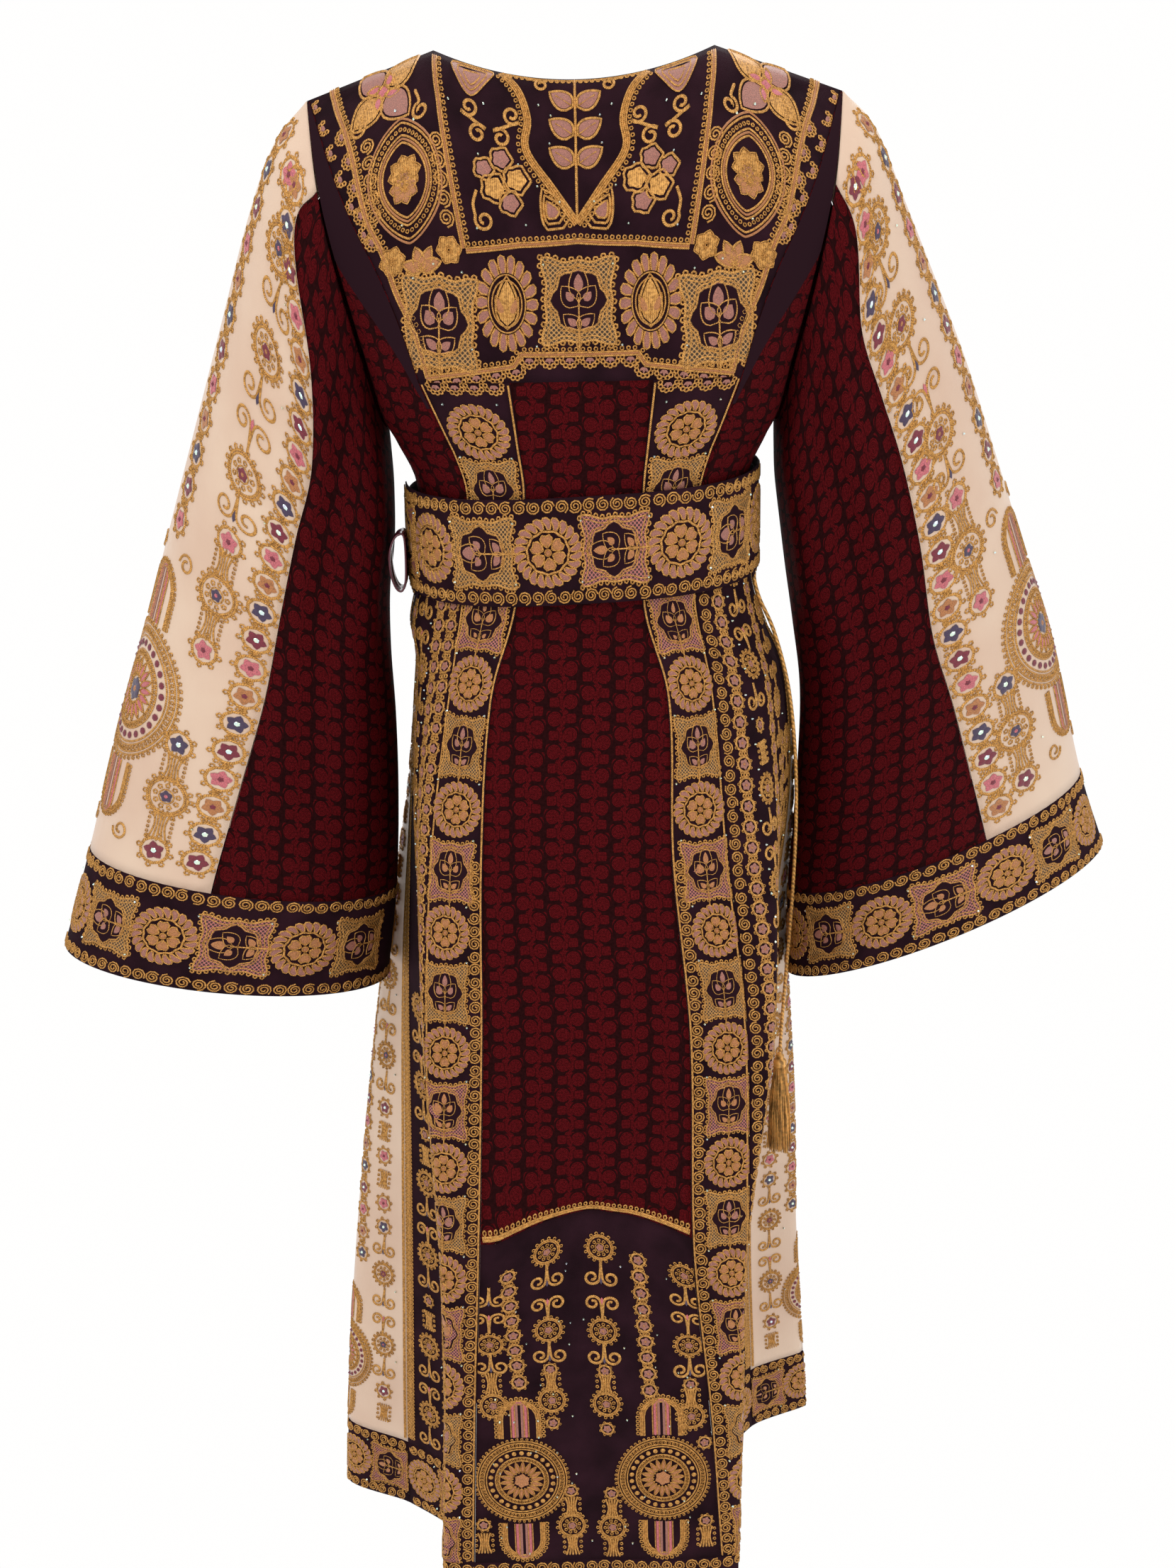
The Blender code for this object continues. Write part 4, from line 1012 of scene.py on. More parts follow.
class Stitching:
    def __init__(self):
        self.mesh = bmesh.new()
        self.uv = self.mesh.loops.layers.uv.new("cord")

    # A couched cord: a low ridge of three edges along the line.
    def cord(self, line, thread="gold", width=cordStyle["width"], rise=cordStyle["rise"], lift=0.0):
        verts = bmesh.ops.create_grid(self.mesh, x_segments=2, y_segments=len(line) - 1,
                                      size=0.5)["verts"]
        length, last = 0.0, line[0]
        for n, ((x, y), alongX, alongY) in enumerate(directed(line)):
            length += math.hypot(x - last[0], y - last[1])
            last = (x, y)
            for k in (0, 1, 2):
                vert = verts[n * 3 + k]
                shift = (k - 1) * width / 2
                high = lift + (rise if k == 1 else cordStyle["foot"])
                vert.co = (x + alongY * shift, y - alongX * shift, high)
                for loop in vert.link_loops:
                    loop[self.uv].uv = (length, k / 2)
        self.paint(verts, thread)

    # Cords side by side, one for each thread, the first of them moved by some gaps.
    def cords(self, line, gap, threads=("gold", "copper", "gold"), first=0.0, **style):
        for k, thread in enumerate(threads):
            self.cord(shifted(line, gap * (k + first)), thread, **style)

    def circle(self, x, y, radius, sides, **style):
        self.cord(circleLine(x, y, radius, sides), **style)

    # A stitched pad: the outline filled and raised in its middle.
    def pad(self, outline, thread, rise=0.0008, lift=0.0002):
        verts = bmesh.ops.create_circle(self.mesh, cap_ends=True, segments=len(outline), radius=1)["verts"]
        for vert, (x, y) in zip(verts, outline):
            vert.co = (x, y, lift)
        face = verts[0].link_faces[0]
        face.normal_update()
        if face.normal.z < 0:
            bmesh.ops.reverse_faces(self.mesh, faces=[face])
        made = bmesh.ops.poke(self.mesh, faces=[face], offset=rise)
        self.flatUv(made["faces"])
        self.paint(list(verts) + list(made["verts"]), thread)

    def dot(self, x, y, radius, thread, rise, sides=6):
        self.pad(circleLine(x, y, radius, sides)[:-1], thread, rise)

    # A wide ground, close enough in its grid to follow the cloth.
    def ground(self, shape, columns, rows, thread, lift=0.0003):
        verts = bmesh.ops.create_grid(self.mesh, x_segments=columns, y_segments=rows, size=0.5)["verts"]
        for vert in verts:
            vert.co = (*shape(vert.co.x * 2, vert.co.y * 2), lift)
        self.flatUv({face for vert in verts for face in vert.link_faces})
        self.paint(verts, thread)

    def flatUv(self, faces):
        for face in faces:
            for loop in face.loops:
                loop[self.uv].uv = loop.vert.co.xy

    def paint(self, verts, thread):
        index = threads.index(thread)
        for vert in verts:
            for face in vert.link_faces:
                face.material_index = index
                face.smooth = True

    def place(self, motif, x, y, angle=0.0, sizeX=1.0, sizeY=None):
        data = motifs[motif].copy()
        data.transform(Matrix.Translation((x, y, 0)) @ Matrix.Rotation(angle, 4, "Z")
                       @ Matrix.Diagonal((sizeX, sizeY or sizeX, 1, 1)))
        self.mesh.from_mesh(data)
        bpy.data.meshes.remove(data)

    def asMotif(self, name):
        motifs[name] = data = asMesh(name, self.mesh)
        print("motif", name, sum(len(face.vertices) - 2 for face in data.polygons))

    # Small loops of cord standing side by side along a line, on its left (1) or right (-1).
    def loops(self, line, side=1, pitch=0.0050, radius=0.0020):
        for x, y, angle in stations(line, pitch):
            spot = polar(radius, angle + side * math.pi / 2, x, y)
            self.place("loop", *spot, angle, radius / cordStyle["drawnLoop"])

    # Small loops of cord at even angles round the middle.
    def loopRing(self, radius, count, size, start=0.0):
        for angle in around(count, start):
            self.place("loop", *polar(radius, angle), angle, size)

    def spirals(self, line, pitch=0.0112, along=0):
        for x, y, angle in stations(line, pitch):
            self.place("spiral", x, y, angle * along + dice.uniform(0, 6))

    def finish(self, name, panel, slot="gold_cord"):
        data = asMesh(name, self.mesh)
        flat = np.empty(len(data.vertices) * 3)
        data.vertices.foreach_get("co", flat)
        flat = flat.reshape(-1, 3)
        flat[:, 2] += cordStyle["lift"]
        data.vertices.foreach_set("co", panel.lay(flat).ravel())
        for finish in threadFinishes:
            data.materials.append(finish)
        data.update()
        print("sewn", name, sum(len(face.vertices) - 2 for face in data.polygons))
        addPiece(name, data, slot)


motifSet = {
    "rosette": {"radius": 0.0262, "petals": 22, "petalFoot": 0.0175, "ring": 0.0160, "lobes": 6,
                "lobeAt": 0.0083, "lobeHalf": 0.0052},
    "square": {"half": (0.0245, 0.0285), "netCells": 8},
}


def addLeaf(work, x, y, length, half, angle, thread, width=0.0019, inner=False):
    work.pad(leafLine(x, y, length, half, angle), thread, 0.0009)
    foot = polar(-length * 0.07, angle, x, y)
    work.cord(closed(leafLine(*foot, length * 1.16, half * 1.22, angle)), width=width, rise=0.0012)
    if inner:
        work.cord([(x, y), polar(length * 0.8, angle, x, y)], width=0.0012, rise=0.0012, lift=0.0004)


# Petals round a point, each a pad with or without its own outline.
def addFlower(work, x, y, radius, count, thread, start=0.3, outline=False, half=0.40):
    for turn in around(count):
        angle = start + turn
        foot = polar(radius * 0.16, angle, x, y)
        if outline:
            addLeaf(work, *foot, radius * 0.84, radius * half, angle, thread, 0.0011)
        else:
            work.pad(leafLine(*foot, radius * 0.84, radius * half, angle, 4), thread, 0.0009)


def makeSmallMotifs():
    work = Stitching()
    work.circle(0, 0, 0.00125, 5, width=0.0010, rise=0.0008)
    work.asMotif("loop")
    work = Stitching()
    work.cord(spiralLine(0, 0, 0.0056, 2.2, core=0.16), width=0.0013)
    work.asMotif("spiral")


# A ring of comma-shaped petals round a six-lobed flower.
def makeRosette():
    work = Stitching()
    kit = motifSet["rosette"]
    step = 2 * math.pi / kit["petals"]
    for angle in around(kit["petals"]):
        outline = [polar(kit["petalFoot"] + (kit["radius"] - kit["petalFoot"]) * along,
                         angle + step * (side + 0.30 * along))
                   for along, side in ((0.0, -0.30), (0.40, -0.46), (0.78, -0.44), (1.0, -0.10),
                                       (0.98, 0.26), (0.74, 0.44), (0.36, 0.22), (0.0, 0.10))]
        work.pad(outline, "mauve")
        work.cord(closed(outline), width=0.0015, rise=0.0010)
    work.cord([polar(kit["ring"] * (1 + 0.03 * math.cos(11 * a)), a)
               for a in (2 * math.pi * k / 44 for k in range(45))], width=0.0018)
    for angle in around(kit["lobes"], 0.5):
        outline = [spun(0, 0, angle, kit["lobeAt"] + kit["lobeHalf"] * radial,
                        kit["lobeHalf"] * side * 0.88)
                   for radial, side in ((-0.85, 0.0), (-0.25, -0.80), (0.45, -1.0), (0.95, -0.62),
                                        (0.78, 0.0), (0.95, 0.62), (0.45, 1.0), (-0.25, 0.80))]
        work.pad(outline, "copper", 0.0010)
        work.cord(closed(outline), width=0.0015, rise=0.0012)
        work.cord([polar(r, angle) for r in (0.004, 0.0075, 0.0105)], width=0.0009, rise=0.0013)
    work.dot(0, 0, 0.0024, "copper", 0.0012, 8)
    work.circle(0, 0, 0.0026, 9, width=0.0010, rise=0.0014)
    work.asMotif("rosette")


def addSprig(work, x, y, size, thread):
    for angle, far in ((90, 0.50), (128, 0.34), (52, 0.34)):
        turn = math.radians(angle)
        addLeaf(work, x + math.cos(turn) * size * 0.06, y + size * (0.10 if angle == 90 else 0.0),
                size * far, size * 0.125, turn, thread, 0.0014)
    for angle in (138, 42):
        addLeaf(work, x, y - size * 0.36, size * 0.30, size * 0.10, math.radians(angle), thread, 0.0014)
    work.cord(straightLine([(x, y - size * 0.72), (x, y + size * 0.12)], 0.003), width=0.0014,
              rise=0.0013, lift=0.0003)


# A net square with drawn-in sides and pointed corners round a dark cartouche with a sprig.
def makeSquare(name, net, thread):
    work = Stitching()
    halfX, halfY = motifSet["square"]["half"]

    def drawn(u, v, inwards):
        wave = 0.05 * math.cos(v * 2.2 * math.pi) * (1 - v * v)
        return u * (1 - inwards * math.cos(v * math.pi / 2) ** 2 + wave)

    def shape(u, v):
        return halfX * drawn(u, v, 0.13), halfY * drawn(v, u, 0.10)
    cells = motifSet["square"]["netCells"]
    work.ground(shape, cells, cells, net)
    corners = ((-1, -1), (1, -1), (1, 1), (-1, 1), (-1, -1))
    edge = closed([shape(a[0] + (b[0] - a[0]) * k / 14, a[1] + (b[1] - a[1]) * k / 14)
                   for a, b in zip(corners, corners[1:]) for k in range(14)])
    work.cord(edge, width=0.0019, rise=0.0011)
    work.cord(shifted(edge, 0.0030), width=0.0013, rise=0.0011)
    for x, y, angle in stations(shifted(edge, -0.0012), 0.0056):
        work.place("loop", x, y, angle, 1.35)

    def cartouche(scale):
        line = []
        for a in around(32):
            wave = 1 + 0.10 * math.cos(4 * a) * math.cos(2 * a) + 0.06 * math.cos(8 * a)
            line.append((halfX * 0.66 * scale * wave * math.cos(a),
                         halfY * (0.03 + 0.70 * scale * wave * math.sin(a))))
        return line
    work.pad(cartouche(1.0), "ground", 0.0001, 0.0006)
    work.cord(closed(cartouche(1.05)), rise=0.0013)
    work.cord(closed(cartouche(1.17)), width=0.0013, rise=0.0012)
    addSprig(work, 0, -halfY * 0.08, halfY * 1.50, thread)
    work.asMotif(name)


def makeCrystal():
    work = Stitching()
    verts = bmesh.ops.create_cone(work.mesh, cap_ends=True, segments=6, radius1=0.0011, radius2=0.0005,
                                  depth=0.0010)["verts"]
    work.paint(verts, "crystal")
    for face in work.mesh.faces:
        face.smooth = False
    bmesh.ops.translate(work.mesh, verts=verts, vec=(0, 0, 0.0012))
    work.asMotif("crystal")


def makeLink(name, petals, centre, radius=0.0128):
    work = Stitching()
    work.circle(0, 0, radius * 0.74, 11, width=0.0022)
    work.loopRing(radius * 0.88, 8, radius / 0.0095, 0.5)
    addFlower(work, 0, 0, radius * 0.56, 5, petals)
    work.dot(0, 0, radius * 0.16, centre, 0.0016)
    work.asMotif(name)


def makeDisc(name, petals, centre, radius=0.0175):
    work = Stitching()
    outer = circleLine(0, 0, radius * 0.80, 26)
    work.cord(outer)
    work.circle(0, 0, radius * 0.70, 22)
    work.loops(outer, -1, 0.0055)
    work.loopRing(radius * 0.46, 9, 1.25)
    work.circle(0, 0, radius * 0.30, 10, width=0.0011)
    addFlower(work, 0, 0, radius * 0.26, 5, petals, half=0.46)
    work.dot(0, 0, radius * 0.09, centre, 0.0014)
    work.asMotif(name)


# A medallion from the middle out: flower, rays, rings of loops and cord, beads, cords, loops.
medallionSet = {"radius": 0.050, "heart": 0.17, "rayFoot": 0.20, "rayEnd": 0.43, "rays": 18,
                "rings": (0.47, 0.55, 0.74, 0.79, 0.88, 0.93),
                "loopRings": ((0.51, 0.0036), (0.835, 0.0040)),
                "bead": 0.65, "beads": 26}


def makeMedallion(name, beadThread, rayThread, heartThread):
    work = Stitching()
    kit = medallionSet
    radius = kit["radius"]
    addFlower(work, 0, 0, radius * kit["heart"], 6, heartThread, half=0.46)
    work.dot(0, 0, radius * 0.05, "copper", 0.0014)
    for angle in around(kit["rays"]):
        addLeaf(work, *polar(radius * kit["rayFoot"], angle), radius * (kit["rayEnd"] - kit["rayFoot"]),
                radius * 0.036, angle, rayThread, 0.0010)
    for share in kit["rings"]:
        work.circle(0, 0, radius * share, 52)
    for share, pitch in kit["loopRings"]:
        for x, y, angle in stations(circleLine(0, 0, radius * share, 60), pitch):
            work.place("loop", x, y, angle)
    for angle in around(kit["beads"]):
        work.dot(*polar(radius * kit["bead"], angle), radius * 0.052, beadThread, 0.0016, 7)
    work.loops(circleLine(0, 0, radius * 0.94, 60), -1, radius=0.0017)
    work.asMotif(name)


makeSmallMotifs()
makeRosette()
makeSquare("goldSquare", "goldNet", "mauve")
makeSquare("pinkSquare", "pinkNet", "copper")
makeCrystal()
makeLink("linkCrimson", "crimson", "crystal")
makeLink("linkRose", "rose", "crimson")
makeLink("linkCopper", "copper", "crimson")
makeLink("linkNavy", "navy", "crystal")
makeLink("linkSmall", "mauve", "copper", 0.0084)
makeDisc("discCrimson", "crimson", "copper")
makeDisc("discNavy", "navy", "rose")
makeDisc("discPlum", "mauve", "copper", 0.0165)
makeMedallion("medallionIvory", "crimson", "rose", "navy")
makeMedallion("medallionPlum", "gold", "copper", "copper")


# The scale that makes a net square so wide and high, its corners spread past its half sizes.
def squareSize(wide, high, spread=2.12):
    halfX, halfY = motifSet["square"]["half"]
    return wide / (halfX * spread), high / (halfY * spread)


# An S with a curl at each end.
def addDoubleScroll(work, x, y, size, hand):
    curls = [spiralLine(x + way * hand * size * 0.55, y + way * size * 1.25, size, 1.25,
                        way * math.pi / 2 - hand * 2.2, -hand, 0.28, 12) for way in (1, -1)]
    work.cord(softLine(curls[0][::-1] + curls[1]), width=0.0027, rise=0.0012)


def addScroll(work, x, y, size, start, hand, tail=()):
    line = list(tail) + spiralLine(x, y, size, 1.3, start, hand, 0.28, 14)
    work.cord(softLine(line) if tail else line, width=0.0025, rise=0.0012)


# Two curls that leave a stem to its left and right. The stem comes from below (1) or above (-1).
def scrollPair(work, x, y, size, way):
    foot = (x, y - way * size * 1.5)
    addScroll(work, x + size * 1.15, y, size, way * math.pi, -way, (foot,))
    addScroll(work, x - size * 1.15, y, size, 0.0, way, (foot,))
    work.cord([(x, y - way * size * 2.3), foot, (x, y - way * size * 0.3)], width=0.0026)
    work.pad(leafLine(x, y - way * size * 0.2, size * 1.05, size * 0.22, way * math.pi / 2, 4),
             "rose" if way > 0 else "navy", 0.0010)


# Five cords side by side, drawn together in the middle like a sheaf.
def addBunch(work, x, y, high, wide):
    for k in range(5):
        share = (k - 2) / 2
        work.cord([(x + share * wide / 2 * (0.55 + 0.45 * abs(t) ** 1.6), y + t * high / 2)
                   for t in (-1, -0.66, -0.33, 0, 0.33, 0.66, 1)], width=0.0017)
    for side in (-1, 1):
        work.loops([(x + side * wide * 0.5, y + t * high / 2) for t in (1, -1)], side, 0.0046, 0.0017)


def addBraid(work, line, cords=3, looped=(1, -1), gap=0.0016):
    work.cords(line, gap, ("gold",) * cords, -(cords - 1) / 2)
    for side in looped:
        work.loops(shifted(line, side * (gap * (cords - 1) / 2 + 0.0004)), side, 0.0040)


# An arch on two legs, its rose stripes inside a wide gold border.
def addArch(work, x, y, up, high=0.034, half=0.0050, border=0.0125):
    def bow(reach, drop=0.0):
        line = [(x - reach, y + up * drop), (x - reach, y + up * (high - reach))]
        line += [(x - reach * math.cos(a), y + up * (high - reach) + up * reach * math.sin(a))
                 for a in (math.pi * k / 9 for k in range(1, 9))]
        turned = [(x + reach, y + up * (high - reach)), (x + reach, y + up * drop)]
        return straightLine(line + turned, 0.004)
    for share, thread, width in ((1.0, "rose", 0.0026), (0.45, "mauve", 0.0026), (1.4, "gold", 0.0011),
                                 (0.72, "gold", 0.0011)):
        work.cord(bow(half * share), thread, width)
    addBraid(work, bow(border, -0.001), 3, (up,))


linkOrder = ("linkCrimson", "linkRose", "linkCopper", "linkNavy")


def addChain(work, line, first=0, pitch=0.0285, size=1.0, order=linkOrder):
    for n, (x, y, angle) in enumerate(stations(line, pitch)):
        work.place(order[(n + first) % len(order)], x, y, angle + dice.uniform(-0.3, 0.3), size)
    for x, y, angle in stations(line, pitch, 1.0)[:-1]:
        for shift in (-0.0026, 0, 0.0026):
            work.place("loop", *polar(shift, angle + math.pi / 2, x, y), angle, 1.3)


def smallChain(work, line, pitch=0.0170, size=1.0):
    addChain(work, line, 0, pitch, size, ("linkSmall",))


# One upright strand: rows of kind and height on the panel.
def addStrand(work, acrossAt, rows, size=1.0):
    above = ""
    for kind, y in rows:
        x = acrossAt(y)
        if kind == "scroll":
            scrollPair(work, x, y, 0.0082 * size, 1 if above == "scroll" else -1)
        elif kind == "bunch":
            addBunch(work, x, y, 0.024 * size, 0.013 * size)
        else:
            work.place(kind, x, y, dice.uniform(0, 1), size)
            if kind.startswith("disc"):
                work.place("crystal", x + 0.02 * size, y - 0.018 * size)
        above = kind


# Arcs of small loops in a row, with a three-petal sprig in each.
def scallops(work, line, side, pitch, radius=0.0064):
    for x, y, angle in stations(line, pitch):
        for k in range(7):
            turn = angle + side * math.pi * k / 6
            work.place("loop", *polar(radius, turn, x, y), turn, 1.4)
        for lean in (-0.85, 0, 0.85):
            work.pad(leafLine(x, y, 0.0048, 0.0011, angle + side * (math.pi / 2 + lean), 4), "mauve")


# A medallion with its arches, one above and one below.
def addArched(work, kind, x, y, turn, size, rows):
    work.place(kind, x, y, turn, size)
    for up, (far, *form) in zip((1, -1), rows):
        addArch(work, x, y + up * far, up, *form)


# Motifs down the bands: two above the belt, and below it one every pitch.
bandSet = {"high": {"rosette": 0.0455, "goldSquare": 0.0545, "pinkSquare": 0.0545}, "motifWide": 0.94,
           "above": (("rosette", -0.0400), ("goldSquare", -0.0880)),
           "below": {"l": (-0.1925, 0.0514), "r": (-0.1940, 0.0510)},
           "order": ("pinkSquare", "rosette", "goldSquare", "rosette"),
           "spiralsFrom": 0.385, "spiralRoom": 0.011, "outwards": 0.0015}


def sewBand(side):
    panel = panels["back_band_" + side]
    work = Stitching()
    inward = 1 if side == "l" else -1
    start, pitch = bandSet["below"][side]
    rows = list(bandSet["above"]) + [
        (bandSet["order"][n % 4], start - n * pitch)
        for n in range(int((panel.length + start) / pitch) + 1)]
    for kind, y in rows:
        high = bandSet["high"][kind]
        free = smooth((-y - bandSet["spiralsFrom"]) / 0.03) * bandSet["spiralRoom"]
        wide = min(0.052, panel.widthAt(y)) * bandSet["motifWide"] - free * 0.45
        x = -inward * (free * 0.5 + bandSet["outwards"] * smooth(-y / 0.25))
        size = motifSet["rosette"]["radius"] * 2
        sizes = (wide / size, high / size) if kind == "rosette" else squareSize(wide, high, 2.20)
        work.place(kind, x, y, 0, *sizes)
        for cornerX in (-0.44, 0.44):
            work.place("crystal", x + wide * cornerX, y + high * 0.5, 0.3)
    depths = panel.depths(0.002, 0.004, 150)
    for way in (-1, 1):
        work.cord([(way * panel.edge(y, 0.0016), y) for y in depths])
    work.spirals([(inward * panel.edge(y, 0.0066), y) for y in depths
                  if y < -bandSet["spiralsFrom"]], 0.0110)
    scallops(work, [(-0.031, -0.002), (0.031, -0.002)], -1, 0.0150)
    work.finish("band_stitching_" + side, panel)


stripSet = {"pitch": 0.0545, "rosette": 0.0555, "square": (0.0595, 0.0575), "turn": 0.1, "hemScale": 0.80,
            "order": ("rosette", "goldSquare", "rosette", "pinkSquare")}


# A belt layer, cuff or hem piece: spiral rows at both edges, and between them rosettes and net
# squares side by side, the sprigs lying sideways.
def sewStrip(name, half, depth, inset, margin, start=None, end=0.0, first=0, size=1.0, gap=None,
             pitch=0.0112):
    work = Stitching()
    kit = stripSet
    for y in (-inset, -depth + inset):
        work.spirals([(-half + margin, y), (half - margin, y)], pitch, 1)
    x, n, middle = start, first, -depth / 2
    while x is not None and x <= end:
        kind = kit["order"][n % 4]
        if kind == "rosette":
            work.place(kind, x, middle, kit["turn"],
                       kit["rosette"] / (motifSet["rosette"]["radius"] * 2) * size)
        else:
            wide, high = kit["square"]
            work.place(kind, x, middle, math.pi / 2, *squareSize(wide * size, high * size))
        for way in (1, -1):
            work.place("crystal", x - kit["pitch"] * 0.5, middle + way * 0.055 * 0.44, 0.2)
        x += gap or kit["pitch"] * size
        n += 1
    work.finish(name + "_stitching", panels[name])


def sewBelt(name, start, first):
    half = panels[name].widths.max() / 2
    sewStrip(name, half, beltSet["height"], 0.0068, 0.008, start, half - 0.03, first)


def sewCuff(name):
    half = panels[name].widths.mean() / 2
    sewStrip(name, half, panels[name].length, 0.0062, 0.003, -half + 0.033, half - 0.02, size=0.93)


def sewHem(name, plain=False):
    half, size = panels[name].widths.mean() / 2, stripSet["hemScale"]
    motif = half / max(1, round(half * 2 / (stripSet["pitch"] * size)))
    sewStrip(name, half, panels[name].length, 0.0062, 0.004, None if plain else -half + motif,
             half - motif + 0.001, len(name) % 4, size, motif * 2, 0.0110)


def ovalLine(x, y, halfX, halfY, lean, power):
    line = []
    for a in around(40):
        narrow = math.copysign(abs(math.cos(a)) ** power, math.cos(a))
        across = halfY * math.sin(a)
        line.append((x + halfX * narrow + lean * across, y + across))
    return line


# The tall medallion on each side of the yoke, with a rosette in its middle.
def addPointedMedallion(work, x, y, lean):
    def ring(share):
        return closed(ovalLine(x, y, 0.0300 * share, 0.0445 * share, lean, 1.45))
    for share, thread in ((1.0, "copper"), (0.93, "gold"), (0.72, "gold"), (0.66, "copper"),
                          (0.60, "gold")):
        work.cord(ring(share), thread)
    for px, py, angle in stations(ring(0.82), 0.0040):
        work.place("loop", px, py, angle, 1.05)
    addFlower(work, x, y + 0.004, 0.0125, 8, "gold", 0.2, True, 0.36)
    addFlower(work, x, y - 0.006, 0.0110, 7, "copper", 0.5, True, 0.36)
    addFlower(work, x, y, 0.0060, 6, "mauve", 0.1, True, 0.4)


# An oval ring of petals round a gold leaf.
def addPetalOval(work, x, y):
    def ring(share):
        return ovalLine(x, y, 0.0240 * share, 0.0350 * share, 0.0, 1.0)

    def between(a, b, share):
        return [a[c] + (b[c] - a[c]) * share for c in (0, 1)]
    outer, inner = ring(1.0), ring(0.64)
    petals = 18
    for n in range(petals):
        spots = []
        for share, turn in ((0, -0.34), (0.5, -0.40), (0.9, -0.24), (1.0, 0.06), (0.9, 0.30), (0.5, 0.40),
                            (0, 0.26)):
            k = (n + turn) / petals * 40
            i, part = int(math.floor(k)) % 40, k - math.floor(k)
            ends = [between(line[i], line[(i + 1) % 40], part) for line in (inner, outer)]
            spots.append(between(*ends, share))
        work.pad(spots, "mauve")
        work.cord(spots, width=0.0017, rise=0.0012)
    for share in (0.60, 0.48):
        work.cord(closed(ring(share)), width=0.0013)
    addLeaf(work, x, y - 0.016, 0.033, 0.0072, math.pi / 2, "gold")
    for side in (-1, 1):
        addLeaf(work, x + side * 0.001, y - 0.009, 0.015, 0.0034, math.pi / 2 - side * 0.5, "copper",
                0.0010)


yokeWork = {
    "square": ((0.119, -0.008), (0.103, -0.075), (0.087, -0.143), (0.045, -0.135), (0.0, -0.131)),
    "vee": ((0.063, -0.004), (0.047, -0.020), (0.039, -0.042), (0.040, -0.066), (0.020, -0.093),
            (0.0, -0.120)),
    "leaves": (-0.022, -0.045, -0.0675),
    "border": ((0.2175, 0.0), (0.197, -0.040), (0.185, -0.067), (0.169, -0.118), (0.155, -0.145),
               (0.1435, -0.175), (0.1325, -0.197), (0.1260, -0.215), (0.1205, -0.2345)),
    "edge": ((0.2290, -0.004), (0.2085, -0.042), (0.1960, -0.070), (0.1765, -0.110), (0.1610, -0.140)),
    "foot": ((0.1205, -0.2330), (0.090, -0.2290), (0.052, -0.2240), (0.046, -0.2150), (0.0, -0.2150)),
    "outerSpirals": ((0.1715, -0.058), (0.160, -0.124)),
    "innerSpirals": ((0.1135, -0.066), (0.1010, -0.131)),
}


def both(points, hand):
    return [(hand * x, y) for x, y in points]


